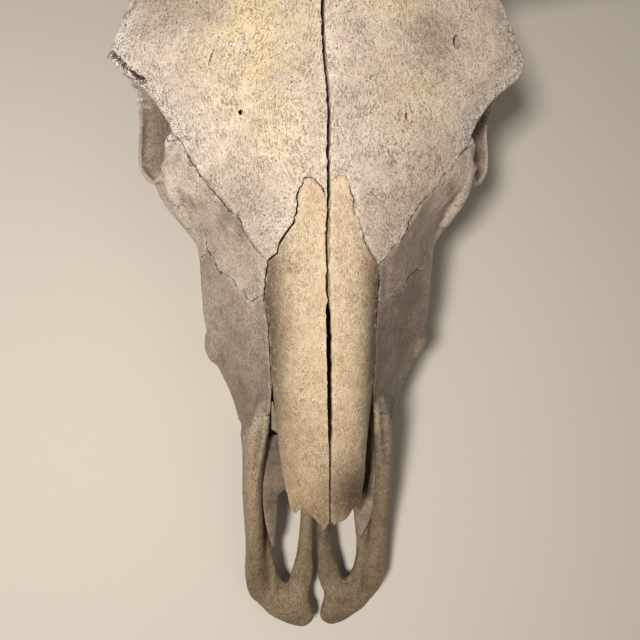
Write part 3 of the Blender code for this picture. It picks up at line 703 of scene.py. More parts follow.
@dataclass
class Face:
    """The walls of the face with the palate, the tooth sockets and the muzzle."""

    top_x: Curve = Curve(
        (12, 35), (24, 40), (45, 40), (60, 41), (80, 41), (99, 40.3), (116, 38.5), (144, 34.5), (162, 33),
        (190, 34.5), (220, 37), (236, 39), (250, 46), (265, 56), (280, 67), (293, 77), (312, 88))
    top_z: Curve = Curve(
        (12, 22), (24, 29), (35, 35), (45, 41), (60, 47), (80, 57), (99, 69), (116, 80), (144, 99),
        (162, 108), (190, 121), (220, 133), (236, 143), (250, 148), (280, 151), (312, 152))
    crest_x: Curve = Curve(
        (12, 41.5), (20, 48), (28, 51), (38, 50.5), (57, 51), (75, 52), (95, 53), (118, 53), (140, 54.5),
        (156, 57.5), (175, 65), (190, 72), (205, 75), (220, 77), (240, 78), (262, 80), (275, 84.5), (283, 91),
        (290, 98.5), (297, 103), (312, 104))
    crest_z: Curve = Curve(
        (12, 21), (24, 25), (60, 36), (90, 42), (120, 50), (157, 62), (190, 72), (220, 86), (262, 98),
        (295, 108), (312, 110))
    row_x: Curve = Curve(
        (12, 36), (24, 43), (60, 43.5), (96, 42), (128, 42), (140, 45), (155, 50), (175, 57), (200, 63),
        (240, 67), (270, 64), (290, 58), (312, 54))
    row_z: Curve = Curve(
        (12, 19.5), (24, 19), (60, 24), (96, 27), (126, 26), (138, 17), (268, 17), (276, 26), (290, 46),
        (312, 74))
    row_in: Curve = Curve(
        (12, 30), (24, 38), (96, 38), (128, 36), (140, 33), (175, 36), (200, 38), (240, 40), (270, 40),
        (312, 46))
    palate_z: Curve = Curve(
        (12, 19.5), (24, 20), (60, 25), (96, 28), (140, 29), (200, 31), (260, 29), (272, 36), (290, 56),
        (312, 80))
    shelf_x: Curve = Curve(
        (12, 24), (26, 23), (32, 27), (38, 29), (46, 30.5), (65, 29.5), (92, 25.5), (98, -2), (264, -2),
        (272, 20), (312, 40))
    shelf_thick: Curve = Curve((12, 2.5), (24, 4), (98, 5), (312, 6))
    inner_x: Curve = Curve(
        (12, 33), (24, 36), (36, 34), (46, 36), (58, 40.5), (72, 43), (96, 43), (120, 42), (150, 38),
        (180, 34), (260, 33), (312, 44))
    lip: Curve = Curve((12, 4.5), (45, 3.5), (70, 1.6), (145, 1.2), (168, 4.5), (312, 4.5))
    lip_drop: Curve = Curve((12, 4), (45, 7), (70, 7), (120, 6), (150, 3), (168, 2), (312, 2))
    crown: Curve = Curve((12, 1), (30, 1.5), (60, 2), (120, 2), (150, 1), (168, 0), (312, 0))
    bulge: Curve = Curve((12, 0.36), (245, 0.38), (265, 0.5), (285, 0.72), (312, 0.78))
    muzzle_out: Curve = Curve(
        (-6, 13), (-4, 20), (-1, 26), (4, 34.5), (12, 42), (20, 48.5), (28, 51.5), (34, 51))
    muzzle_in: Curve = Curve((-6, 8), (-3, 3.5), (0, 2), (5, 2.6), (13, 5.2), (20, 5.6), (28, 3.5), (34, 1))
    muzzle_z: Curve = Curve((-6, 17), (10, 19), (20, 20.3), (27, 20))
    muzzle_thick: Curve = Curve((-6, 4), (-2, 9), (6, 12), (19, 12.5), (27, 6))

    def _wall(self, s: float) -> list[Pair]:
        """The left wall with its half of the palate, open towards the nasal cavity.

        Args:
            s: the place.

        Returns:
            The section's outline.
        """
        top_x, top_z, crest_x, crest_z = self.top_x(s), self.top_z(s), self.crest_x(s), self.crest_z(s)
        row_x, row_z, row_in = self.row_x(s), self.row_z(s), self.row_in(s)
        shelf_x, palate_z, inner_x = self.shelf_x(s), self.palate_z(s), self.inner_x(s)
        floor_z = palate_z + self.shelf_thick(s)
        lip_x, lip_z, crown_x = min(top_x - self.lip(s), 40), top_z - self.lip_drop(s), top_x + self.crown(s)
        return [
            (crown_x, top_z),
            (crown_x + self.bulge(s) * (crest_x - crown_x), crest_z + 0.66 * (top_z - crest_z)),
            (top_x + (0.5 + 0.5 * self.bulge(s)) * (crest_x - top_x), crest_z + 0.32 * (top_z - crest_z)),
            (crest_x - 0.6, crest_z + 4),
            (crest_x, crest_z),
            (crest_x - 1.5, crest_z - 4),
            (row_x + 0.45 * (crest_x - row_x), row_z + 0.55 * (crest_z - row_z)),
            (row_x, row_z + 2),
            (row_x - 2, row_z),
            (row_in + 1, row_z),
            (row_in - 2, 0.5 * (row_z + palate_z)),
            (min(row_in - 5, shelf_x + 8), palate_z),
            (shelf_x, palate_z),
            (shelf_x, floor_z),
            (0.5 * (shelf_x + inner_x - 5), floor_z + 1.0),
            (inner_x - 5, floor_z + 4),
            (0.5 * (inner_x + lip_x), 0.5 * (floor_z + 4 + lip_z)),
            (lip_x, lip_z),
        ]

    def _muzzle(self, s: float) -> list[Pair]:
        """The flat body of the left premaxilla.

        Args:
            s: the place.

        Returns:
            The section's outline.
        """
        inner, outer = self.muzzle_in(s), self.muzzle_out(s)
        level, half = self.muzzle_z(s), self.muzzle_thick(s) / 2
        middle, reach = 0.5 * (inner + outer), 0.5 * (outer - inner)
        return [(middle + reach * boxy(math.cos(t), 0.7), level + half * math.sin(t)) for t in turns(24)]

    def masses(self) -> list[Mesh]:
        """The face without its teeth.

        Returns:
            The masses of both sides.
        """
        medial_arm = bar((12.5, 22, 20, 8.5, 4.5), (9.6, 32, 21.5, 8.5, 4.5), (8.2, 42, 23, 7, 4.5),
                         (7.2, 52, 24, 6, 4.5), (6.2, 72, 26, 5, 4), (6.2, 104, 30, 5.5, 4))
        outer_arm = bar(
            (41, 22, 22, 8, 5), (43.5, 34, 27, 8, 6), (44, 45, 32.5, 7.3, 6.5), (44.3, 60, 39.5, 6.7, 6.8),
            (44.6, 76, 48, 6.4, 7.2), (44.9, 91, 56, 6.2, 7.4), (44.5, 110, 66, 5.9, 8),
            (44.2, 130, 76, 5.4, 8), (40.5, 147, 88, 4.5, 8), (37.5, 160, 98, 3, 6))
        tuber = ball((68, 197, 74), (9, 14, 9), (0, 0, -8))
        tear_bulla = ball((50, 290, 84), (17, 26, 19))
        return paired(loft(self._wall, 12, 312, 3), loft(self._muzzle, -6, 26, 1.5), medial_arm, outer_arm,
                      tuber, tear_bulla)

    def arches(self) -> list[Mesh]:
        """The cheek bone's arch behind each eye socket, and the joint of the jaw.

        Returns:
            The masses of both sides.
        """
        cheek = bar(
            (74, 262, 98, 6, 9), (82, 276, 98, 8, 10), (93, 291, 98, 9, 10), (102, 310, 93, 8, 8.5),
            (104, 332, 91.5, 6, 7), (101.5, 356, 93, 5, 7), (98, 380, 94, 5, 6), (90, 402, 95, 8, 6),
            (78, 416, 99, 12, 8), (62, 424, 104, 12, 12))
        joint = ball((80, 405, 88), (21, 13, 6), (12, 0, 0))
        return paired(cheek, joint)

    def septum(self) -> Mesh:
        """The vomer, a thin upright plate on the midline of the palate.

        Returns:
            The plate.
        """
        low = Curve((112, 33), (150, 34), (200, 35), (250, 34), (285, 44), (300, 60))
        high = Curve((112, 44), (150, 54), (200, 62), (250, 66), (285, 84), (300, 84))
        return loft(lambda s: [(-1.8, low(s)), (1.8, low(s)), (1.8, high(s)), (-1.8, high(s))], 112, 300)


@dataclass
class Braincase:
    """The back of the skull: braincase, ears, nape, condyles and the processes that it rests on."""

    half: Curve = Curve(
        (276, 52), (300, 46), (330, 40), (355, 44), (390, 56), (430, 62), (465, 70), (488, 62))
    top: Curve = Curve((276, 158), (320, 168), (400, 184), (460, 190), (488, 184))
    floor: Curve = Curve((276, 84), (300, 76), (340, 70), (380, 62), (430, 54), (466, 58), (488, 84))

    def _core(self, s: float) -> list[Pair]:
        """The root of the nose and the braincase.

        Args:
            s: the place.

        Returns:
            The section's outline.
        """
        middle, reach = 0.5 * (self.top(s) + self.floor(s)), 0.5 * (self.top(s) - self.floor(s))
        return [(self.half(s) * boxy(math.cos(t), 0.75), middle + reach * boxy(math.sin(t), 0.85))
                for t in turns(32)]

    def masses(self) -> list[Mesh]:
        """All the masses behind the face.

        Returns:
            The masses, the beads round the horns' roots last.
        """
        crest = bar((0, 490, 191, 9, 9), (50, 489, 187, 9, 9), (80, 474, 170, 10, 9), (88, 461, 140, 10, 9),
                    (88, 450, 112, 10, 9), up=(0, 1, 0))
        nape = ball((0, 464, 128), (88, 20, 62))
        poll = ball((0, 468, 170), (84, 22, 26))
        nape_ridge = bar((0, 484, 182, 12, 8), (0, 487, 166, 10, 9), (0, 485, 146, 7, 8), (0, 480, 120, 4, 6),
                         up=(0, 1, 0))
        ear = ball((70, 438, 100), (20, 20, 25))
        ear_tube = bar((80, 443, 99, 10, 10), (90, 447, 98, 8.5, 9), (96, 449, 98, 7.5, 8), up=(0, 0, 1))
        bulla = ball((42, 432, 56), (12, 19, 21))
        condyle = bar((10, 470, 38, 9, 8), (18, 481, 39, 12, 11), (28, 485, 48, 13.5, 13),
                      (36, 479, 62, 12.5, 12), (39, 468, 76, 10, 9), up=(0, 1, 0))
        collar = bar((26, 462, 84, 16, 20), (34, 470, 60, 14, 18), (26, 462, 46, 18, 18), up=(0, 1, 0))
        lower = bar((60, 452, 112, 22, 16), (65, 454, 84, 15, 18), (66, 456, 58, 9, 17),
                    (64, 457, 36, 6, 13.5), (60, 457, 16, 4.8, 9.5), (56, 456, -5, 4, 6.5), up=(0, 1, 0))
        mastoid = bar((84, 462, 128, 11, 8), (82, 464, 104, 12, 9), (76, 464, 82, 10, 9), (70, 463, 64, 7, 8),
                      up=(0, 1, 0))
        base = bar((0, 486, 52, 22, 9), (0, 450, 52, 21, 9), (0, 420, 56, 17, 9), (0, 380, 64, 12, 9),
                   (0, 340, 72, 10, 9), (0, 300, 80, 9, 9))
        tubercle = ball((10, 428, 48), (8, 12, 6))
        plate = bar((24, 262, 40, 4, 12), (24, 285, 50, 3.5, 24), (22, 308, 54, 3.5, 28),
                    (20, 326, 52, 3.5, 26), (20, 346, 66, 5, 10))
        hook = bar((21, 322, 38, 3.5, 5), (20, 327, 26, 3, 4), (19, 332, 20, 2.5, 3))
        shoulder = bar((30, 458, 172, 30, 24), (66, 456, 178, 27, 22), (90, 455, 183, 24.5, 20.5))
        corona = [
            ball((91 + 2.5 * math.sin(5 * t), 454 + 25.5 * math.cos(t), 183 + 21 * math.sin(t)),
                 (3.6, 3.0 + math.sin(3 * t), 3.0 + math.cos(4 * t)))
            for t in turns(26)
        ]
        core_of_horn = bar((62, 452, 177, 26, 20), (92, 454, 183, 25, 20.5), (113, 456.5, 186.8, 22.5, 20))
        return [
            loft(self._core, 276, 488), nape, poll, nape_ridge, base,
            *paired(crest, ear, ear_tube, bulla, condyle, collar, lower, mastoid, tubercle, plate, hook,
                    core_of_horn, shoulder, *corona),
        ]

    def sockets(self) -> list[Mesh]:
        """The hollows of the eye sockets, below the forehead."""
        return paired(ball((96, 328, 131), (43, 30, 31), (0, 10, 0)))

    def openings(self) -> list[Mesh]:
        """The openings of nerves and ears, and the great foramen under the nape.

        Returns:
            The shapes to cut away.
        """
        foramen = bar((0, 520, 74, 18, 17), (0, 480, 78, 18, 17), (0, 440, 84, 17, 16))
        ear_hole = bar((112, 450, 99, 5.5, 6), (84, 440, 96, 5, 6), (68, 436, 94, 4, 5))
        under_eye = bar((64, 128, 54, 3.5, 6), (54, 142, 58, 3.5, 5), (46, 156, 62, 3, 4))
        return [foramen, *paired(ear_hole, under_eye)]


# ---------------------------------------------------------------- cracks and marks
@dataclass
class Cracks:
    """What time has opened in the skull: the midline crack, the jagged nasal tips and small holes."""

    line: Curve = Curve(
        (60, 2), (133, 2), (188, 1), (239, 0), (276, 1), (298, 1), (314, 1.5), (328, 0.9), (342, -0.2),
        (355, -1), (380, -1), (430, 1), (470, -1), (500, 0))
    wide: Curve = Curve(
        (60, 1.3), (126, 1.3), (138, 2.9), (208, 3.2), (213, 1.0), (216, 3.0), (225, 3.0), (229, 1.2),
        (236, 2.9), (250, 2.9), (262, 2.1), (290, 2.2), (345, 2.1), (372, 2.2), (420, 1.3), (500, 1.0))
    deep: Curve = Curve((60, 8), (206, 8), (217, 2.4), (262, 2.6), (276, 7), (500, 8))
    rough: Curve = Curve((60, 0.15), (215, 0.15), (240, 0.3), (500, 0.3))
    foot: Curve = Curve(
        (60, 60), (230, 112), (262, 119), (300, 124), (400, 137), (452, 144), (474, 162), (506, 170))
    tips: Outline = (
        (-46, 116), (-26.8, 112), (-24.8, 103), (-23.3, 96), (-22.2, 89.5), (-20.5, 87.8), (-19, 87.5),
        (-17, 90), (-14, 92), (-11.5, 88.5), (-9, 85.5), (-6, 82), (-4, 80.5), (-2, 77), (1, 80.5), (3, 81),
        (5, 79), (7, 82.5), (8, 80.5), (11, 82), (13, 83.5), (17, 88), (20, 90.5), (23.2, 86), (24.2, 91),
        (46, 96))

    def middle(self, s: float) -> float:
        """Where the midline crack runs."""
        rough = self.rough(s)
        return self.line(s) + 0.8 * rough * waver(s / 6, 3.0) + 0.6 * rough * waver(s / 2.1, 5.0)

    def midline(self, roof: Roof) -> Mesh:
        """The open crack between the two nasal bones and between the two frontal bones.

        Args:
            roof: where the top of the crack is read from.

        Returns:
            The shape to cut away.
        """
        def section(s: float) -> list[Pair]:
            """The crack's cross section at s.

            Args:
                s: the place.

            Returns:
                The section's outline.
            """
            x, top, narrow = self.middle(s), roof.ridge_z(s), CUT + 0.1
            left = max(narrow, self.wide(s) / 2 * (1 + self.rough(s) * waver(s / 3.5, 7.0)))
            right = max(narrow, self.wide(s) / 2 * (1 + self.rough(s) * waver(s / 2.5, 8.0)))
            foot, ledge = self.foot(s), top - self.deep(s)
            return [(x - right, top + 9), (x - right, ledge), (x - narrow, ledge - 1.5), (x - narrow, foot),
                    (x + narrow, foot), (x + narrow, ledge - 1.5), (x + left, ledge), (x + left, top + 9)]

        return loft(section, 62, 508, 1.8)

    def nasal_tips(self) -> Mesh:
        """What is broken off the front of the nasal bones."""
        line = [self.tips[0], *wavy(self.tips[1:-1], 0.35, 2.0, 0.9), self.tips[-1]]
        return prism([*line, (46, 55), (-46, 55)], 78, 125)

    def nasal_slits(self) -> list[Mesh]:
        """The gaps between the free ends of the nasal bones and the arms of the premaxillae.

        Returns:
            The shapes to cut away.
        """
        right = ((-32.2, 168), (-30.4, 150), (-28.3, 126), (-26.2, 108), (-26.2, 100), (-33.5, 100),
                 (-36, 122), (-34, 144), (-33, 160))
        left = ((29.6, 163), (28.0, 146), (26.6, 130), (25.8, 108), (25.8, 100), (33.5, 100), (36, 122),
                (33.2, 144), (30.6, 160))
        return [prism(line, 66, 150) for line in (right, left)]

    def holes(self) -> list[Mesh]:
        """The small holes of vessels and nerves, and short cracks.

        Returns:
            The shapes to cut away.
        """
        over_eye = bar((80, 355, 186, 4.2, 5), (76, 357, 172, 2.6, 4.2), (74, 361, 162, 2, 3), up=(0, 1, 0))
        slit_right = bar((-45.5, 311.5, 182, 1.7, 1.5), (-46.5, 314, 170, 1.5, 1.5),
                         (-48, 318, 160, 0.8, 1.3), up=(0, 1, 0))
        slit_left = bar((46.6, 312, 182, 0.9, 2.6), (46.2, 313.5, 170, 0.8, 2.2), (45.6, 316, 160, 0.6, 1.5),
                        up=(0, 1, 0))
        tear_hole = bar(
            (-90.2, 308.0, 148.6, 0.4, 2.2), (-87.8, 307.4, 148.6, 0.7, 2.6), (-85.2, 306.8, 148.4, 0.4, 2.2))
        scratches = [
            bar((-60.8, 346.2, 176.5, 0.15, 1.5), (-62.3, 343, 174.6, 0.55, 2.2),
                (-64.2, 339.6, 173.5, 0.15, 1.5)),
            bar((58.8, 337, 175, 0.15, 1.5), (61, 332.5, 172.5, 0.5, 2.2), (63.4, 328.2, 170.8, 0.15, 1.5)),
        ]
        return [over_eye, slit_right, slit_left, tear_hole, *scratches]


@dataclass
class Sutures:
    """The lines along which the skull parts into its bones, as moulds round each bone."""

    cracks: Cracks
    rough: float = 0.55
    gapes: dict[Side, Curve] = field(default_factory=lambda: {
        Side.RIGHT: Curve(
            (60, 0.05), (160, 0.05), (225, 0.1), (236, 0.7), (255, 1.0), (268, 0.7), (279, 0.2)),
        Side.LEFT: Curve((60, 0.05), (225, 0.1), (240, 0.22), (279, 0.1)),
    })
    nasal_edges: dict[Side, Outline] = field(default_factory=lambda: {
        Side.RIGHT: (
            (-1.4, 268.5), (-2.4, 272.3), (-3.4, 273.5), (-4.7, 274.6), (-6.2, 276.6), (-8, 277.9),
            (-10.2, 278.4), (-12.6, 277.4), (-14.2, 274.6), (-15.8, 271.4), (-16.8, 269), (-18, 262),
            (-20, 255), (-23, 251), (-27, 244.5), (-29, 240), (-34, 236), (-35.5, 229), (-36.5, 219),
            (-34.5, 205), (-33, 188), (-33, 170), (-32, 161), (-30.5, 140), (-28.5, 121), (-27, 105),
            (-27, 60)),
        Side.LEFT: (
            (1.9, 276.4), (3.4, 276.8), (4.8, 278.4), (6.8, 279.3), (9.4, 278.4), (11.8, 275.2),
            (13.2, 270.5), (15, 264), (17.2, 257), (19.8, 249.5), (22.4, 243.5), (25.6, 238), (29.5, 233),
            (31.5, 221), (30.5, 203), (30, 190), (31, 180), (29.5, 158), (28.5, 145), (27.5, 131),
            (26.5, 112), (27, 60)),
    })
    frontal_edges: dict[Side, Outline] = field(default_factory=lambda: {
        Side.RIGHT: ((-98, 315), (-87, 312), (-82, 306), (-75, 293), (-67, 280), (-58, 269), (-50, 260),
                     (-46, 251), (-43, 247), (-40, 242), (-36, 238), (-33, 235)),
        Side.LEFT: ((98, 312), (89, 306), (76, 290), (70, 284), (65, 277), (55, 267), (48, 255), (46, 251),
                    (43, 246), (39, 242), (35, 237), (31, 234)),
    })
    lacrimal_edges: dict[Side, Outline] = field(default_factory=lambda: {
        Side.RIGHT: ((-33, 217), (-37, 219), (-43, 217), (-47, 223), (-52, 226), (-56, 233), (-63, 238),
                     (-68, 248), (-74, 260), (-84, 270), (-98, 280), (-114, 288)),
        Side.LEFT: ((31, 213), (36, 212), (41, 217), (46, 222), (51, 226), (55, 231), (62, 238), (70, 240),
                    (74, 242), (78, 251), (82, 262), (90, 272), (102, 281), (116, 288)),
    })

    def _crack(self, first: float, last: float, step: float = 3.0) -> list[Pair]:
        """The middle of the midline crack, in plan.

        Args:
            first: the place s where it starts.
            last: where it ends.
            step: how far apart its points are.

        Returns:
            The line's (x, s) points.
        """
        count = max(1, round((last - first) / step))
        places = [first + (last - first) * i / count for i in range(count + 1)]
        return [(self.cracks.middle(s), s) for s in places]

    def nasal(self, side: Side) -> Mesh:
        """One nasal bone, whose back end is a spur between the frontal bones.

        Args:
            side: the side of the animal.

        Returns:
            The mould.
        """
        top = self.nasal_edges[side][0][1]
        edge = wavy(self.nasal_edges[side], 0.6, 11.0 * side.value)
        return prism([*self._crack(60, top), *edge], lambda x, s: 63 + 0.37 * (s - 60), 240)

    def gape(self, side: Side) -> Mesh:
        """What has opened along the edge of one nasal bone.

        Args:
            side: the side of the animal.

        Returns:
            The shape to cut away.
        """
        edge = wavy(self.nasal_edges[side], 0.6, 11.0 * side.value)
        wide = self.gapes[side]
        outer = []
        for (x0, s0), (x, s), (x1, s1) in zip(edge, edge[1:], edge[2:]):
            across = Vector((s0 - s1, x1 - x0)).normalized() * -side.value
            reach = wide(s) * (1 + 0.5 * waver(s / 2.3, 17.0)) * (1 if s0 != s1 else 0)
            outer.append((x + across.x * reach, s + across.y * reach))
        return prism([*edge[1:-1], *reversed(outer)], 100, 240)

    def frontal(self, side: Side) -> Mesh:
        """One half of the forehead, with its half of the brow, the temple's roof and the horn core.

        Args:
            side: the side of the animal.

        Returns:
            The mould.
        """
        k = side.value
        edge = wavy(self.frontal_edges[side], self.rough, 21.0 * k)
        return prism([*self._crack(232, 506), (130 * k, 506), (130 * k, 317), *edge, (30 * k, 232)],
                     lambda x, s: 118 + 0.13 * (s - 236), 240)

    def lacrimal(self, side: Side) -> Mesh:
        """The plate between the forehead and the cheek, in front of the eye.

        Args:
            side: the side of the animal.

        Returns:
            The mould.
        """
        k = side.value
        edge = wavy(self.lacrimal_edges[side], 0.9, 31.0 * k)
        return prism([(28 * k, 228), *edge, (112 * k, 318), (50 * k, 318), (34 * k, 250)],
                     lambda x, s: 102 + 0.5 * (abs(x) - 55), 200)

    def zygomatic(self, side: Side) -> Mesh:
        """The cheek bone: the lower rim of the eye socket and its arch.

        Args:
            side: the side of the animal.

        Returns:
            The mould.
        """
        k = side.value
        low = wavy([(386, 96), (382, 78), (300, 76), (262, 83), (247, 92), (252, 106)], self.rough, 41.0 * k)
        back = wavy([(372, 147), (370, 106), (386, 96)], self.rough, 42.0 * k)
        top = wavy([(252, 106), (260, 114), (280, 123), (297, 127), (314, 129), (328, 139), (338, 147),
                    (372, 147)], self.rough, 43.0 * k)
        return side_prism([*low, *top[1:-1], *back[:-1]], 60 * k, 130 * k)

    def premaxilla(self, side: Side) -> Mesh:
        """The bone of the muzzle with its thin arm up to the nose.

        Args:
            side: the side of the animal.

        Returns:
            The mould.
        """
        k = side.value
        back = wavy([(97, 30), (103, 36), (114, 45), (127, 55), (138, 67), (141, 84), (148, 99), (152, 118)],
                    self.rough, 51.0 * k)
        return side_prism([(-20, -10), (96, -10), *back, (-20, 118)], 0, 70 * k)

    def palatine(self, side: Side) -> Mesh:
        """The back of the palate and the upright plate behind it.

        Args:
            side: the side of the animal.

        Returns:
            The mould.
        """
        k = side.value
        front = wavy([(0, 240), (20, 238), (32, 246), (32, 264)], self.rough, 61.0 * k)
        return prism([(k * abs(x), s) for x, s in front]
                     + [(31 * k, 278), (31 * k, 318), (13 * k, 318), (13 * k, 276), (0, 270)], 8, 72)

    def maxilla(self, side: Side) -> Mesh:
        """The wall of the face with the palate.

        Args:
            side: the side of the animal.

        Returns:
            The mould.
        """
        k = side.value
        return prism([(0, 60), (130 * k, 60), (130 * k, 320), (38 * k, 320), (38 * k, 284),
                      (0, 284)], -10, 200)

    def temporal(self, side: Side) -> Mesh:
        """The temple's wall, the joint of the jaw, the back of the arch and the ear region.

        Args:
            side: the side of the animal.

        Returns:
            The mould.
        """
        k = side.value
        front = wavy([(28, 412), (44, 412), (44, 374), (130, 362)], self.rough, 71.0)
        back = wavy([(98, 476), (80, 476), (77, 449)], 1.2, 72.0)
        return prism([(k * x, s) for x, s in [*front, (130, 452), *back, (28, 449)]], 26, 200)

    def vomer(self) -> Mesh:
        """The upright plate on the midline of the nose."""
        return side_prism([(100, 39.5), (200, 41), (256, 40), (266, 34), (286, 40), (286, 100),
                           (100, 100)], -4, 4)

    def parietal(self) -> Mesh:
        """The two parietal bones in one, between the forehead and the nape.

        Returns:
            The mould.
        """
        top = wavy([(404, 139.8), (452, 146), (474, 166), (512, 172)], 1.3, 81.0)
        low = wavy([(512, 142), (480, 134), (404, 128)], 1.3, 82.0)
        return side_prism([*top, *low], -110, 110)

    def occipital(self) -> Mesh:
        """The nape, the condyles, the paracondylar processes and the base behind the sphenoid."""
        return side_prism([(405, 30), (405, 76), (442, 82), (448, 150), (520, 150), (520, -10), (430, -10),
                           (430, 30)], -120, 120)


# ---------------------------------------------------------------- finishes
def linear(code: str) -> tuple[float, float, float, float]:
    """A colour that Blender reads, from an sRGB hex code such as #d8cbb5."""
    parts = [int(code[i:i + 2], 16) / 255 for i in (1, 3, 5)]
    return (*(c / 12.92 if c <= 0.04045 else ((c + 0.055) / 1.055) ** 2.4 for c in parts), 1.0)


def add_node(tree: bpy.types.NodeTree, kind: str, inputs: dict | None = None,
             **settings: object) -> bpy.types.Node:
    """Adds one node with its settings and links.

    Args:
        tree: where it goes.
        kind: the node's type without the leading ShaderNode.
        inputs: for each input, by name or number, a value, another node's output, or another node,
            which stands for its first output.
        settings: the node's own properties.

    Returns:
        The node.
    """
    node = tree.nodes.new("ShaderNode" + kind)
    for key, value in settings.items():
        setattr(node, key, value)
    for key, value in (inputs or {}).items():
        if isinstance(value, bpy.types.Node):
            value = value.outputs[0]
        if isinstance(value, bpy.types.NodeSocket):
            tree.links.new(value, node.inputs[key])
        else:
            node.inputs[key].default_value = value
    return node


# Soft noise in bone: the millimetres across its swells, its detail and its roughness.
CLOUDS = {
    "fine": (0.85, 5.0, 0.75), "speck": (1.0, 2.0, 0.55), "dirt": (2.0, 4.0, 0.7), "mottle": (2.4, 4.0, 0.75),
    "worm": (2.4, 2.0, 0.6), "web": (3.4, 2.0, 0.55), "film": (4, 4.0, 0.55), "soil": (4, 5.0, 0.7),
    "edge": (5, 2.0, 0.55), "flecks": (8, 3.0, 0.55), "blush": (9, 4.0, 0.65), "pores": (11, 3.0, 0.55),
    "dashes": (13, 3.0, 0.55), "patch": (14, 4.0, 0.55), "pits": (17, 2.0, 0.55), "streaks": (26, 2.0, 0.55),
    "tint": (34, 3.0, 0.55),
}
CELL = 2.3                     # mm between pits


@dataclass(frozen=True)
class BoneFinish:
    """Weathered bone: grown in fine lines, bared and bleached by sun and rain, and dried.

    It is chalky and open-pored, so it is matt and pale, with dirt as dark dashes in its pores and growth
    lines, yellow where fat has stayed in it and grey where its edges have lost their skin.
    """

    name: str
    base: str
    light: str
    blush: str
    patch: str = "#e6d09a"
    front: str = "#c9c1b2"     # what multiplies the colour towards the muzzle
    rim: str = "#d8d2c8"
    streak: str = "#54402f"
    # the colour of stains, also laid as painted shade on the shaded flanks of the nose and the left cheek
    stain: str = "#625b53"
    dashes: float = 0.42       # how strongly the fine grain of the growth lines shows
    streaks: float = 0.75      # how strongly the dark growth lines show
    pits: float = 0.5          # how strongly the pores show
    blushes: float = 0.5       # how strongly the pink and brown clouds show
    wide: float = 0.95         # mm across a line of the grain: real ones are finer, and wouldn't show
    long: float = 4.2          # mm along it
    specks: float = 0.6        # how strongly the finest dark grains show
    mottled: float = 0.3       # how strongly small lighter and darker flecks show
    rough: float = 0.66

    def material(self) -> Material:
        """Builds the node tree.

        Returns:
            The material.
        """
        made = bpy.data.materials.new(self.name)
        made.use_nodes = True
        tree = made.node_tree
        shader = tree.nodes["Principled BSDF"]
        add = partial(add_node, tree)

        def joined(how: str, *shares: object) -> object:
            """Several shares folded into one: their product, or the strongest of them."""
            return reduce(lambda a, b: add("Math", {0: a, 1: b}, operation=how), shares)

        place = add("TexCoord").outputs["Object"]
        grain = add("Attribute", attribute_name="grain").outputs["Vector"]
        (front, rim, grime_and_shade), (patched, soil_and_shade, seam) = (
            tuple(add("SeparateXYZ", {0: add("Attribute", attribute_name=name).outputs["Vector"]}).outputs)
            for name in ("tone", "wear_and_painted_light"))

        # Noise drawn out along the grain: the millimetres across and along it, and where it starts.
        lines = {"dash": (self.wide, self.long, 0.0), "fleck": (0.7 * self.wide, 0.4 * self.long, 1.7),
                 "streak": (self.wide, 2 * self.long, 3.1), "swell": (3.5, 14.0, 7.7)}
        found = {
            name: add("TexNoise", {"Vector": place, "Scale": 1 / (size * MM), "Detail": detail,
                                   "Roughness": rough})
            for name, (size, detail, rough) in CLOUDS.items()
        }
        for name, (wide, long, shift) in lines.items():
            drawn = add("Mapping", {"Vector": grain, "Location": (shift, shift, shift),
                                    "Scale": (1 / wide, 1 / long, 1 / wide)})
            found[name] = add("TexNoise", {"Vector": drawn, "Scale": 1 / MM, "Detail": 2.0, "Roughness": 0.6,
                                           "Distortion": 0.3})
        found["pit"] = add("TexVoronoi", {"Vector": place, "Scale": 1 / (CELL * MM), "Randomness": 1.0})
        found["chosen"] = add("SeparateColor", {0: found["pit"].outputs["Color"]})
        found["worm"] = add("Math", {0: joined("SUBTRACT", found["worm"], 0.5)}, operation="ABSOLUTE")

        # What is read from each: the value that gives none of it, the one that gives the most, and the most.
        shares = {
            name: add("MapRange", {0: found[source], 1: none, 2: full, 3: 0.0, 4: most},
                      interpolation_type="SMOOTHSTEP")
            for name, source, none, full, most in (
                ("tint", "tint", 0.36, 0.66, 1.0), ("blush", "blush", 0.42, 0.70, self.blushes),
                ("patch", "patch", 0.22, 0.60, 1.0), ("lighter", "mottle", 0.50, 0.68, self.mottled),
                ("darker", "mottle", 0.50, 0.32, self.mottled), ("soil", "soil", 0.10, 0.52, 1.0),
                ("film", "film", 0.28, 0.62, 1.0), ("grains", "fine", 0.16, 0.84, 1.0),
                ("rough", "fine", 0.2, 0.8, self.rough + 0.2), ("dash", "dash", 0.53, 0.62, 1.0),
                ("dashes", "dashes", 0.30, 0.62, self.dashes), ("fleck", "fleck", 0.56, 0.64, 1.0),
                ("flecks", "flecks", 0.30, 0.62, 1.2 * self.dashes), ("streak", "streak", 0.60, 0.70, 1.0),
                ("streaks", "streaks", 0.38, 0.66, self.streaks), ("pit", "pit", 0.30, 0.12, 1.0),
                ("chosen", "chosen", 0.55, 0.75, 1.0), ("pits", "pits", 0.40, 0.62, self.pits),
                ("worm", "worm", 0.035, 0.010, 1.0), ("web", "web", 0.40, 0.56, 1.0),
                ("pores", "pores", 0.34, 0.62, self.specks), ("speck", "speck", 0.58, 0.66, 1.0),
                ("dirt", "dirt", 0.44, 0.58, 1.0), ("edge", "edge", 0.62, 0.40, 0.5))
        }
        dash = joined("MAXIMUM", joined("MULTIPLY", shares["dash"], shares["dashes"]),
                      joined("MULTIPLY", shares["fleck"], shares["flecks"]))
        dark_lines = joined("MAXIMUM", dash, joined("MULTIPLY", shares["streak"], shares["streaks"]))
        pit = joined("MULTIPLY", shares["pit"], shares["chosen"], shares["pits"])
        speck = joined("MULTIPLY", shares["speck"], joined("MAXIMUM", rim, shares["pores"]))
        craze = joined("MULTIPLY", shares["worm"], shares["web"], rim, 0.9)

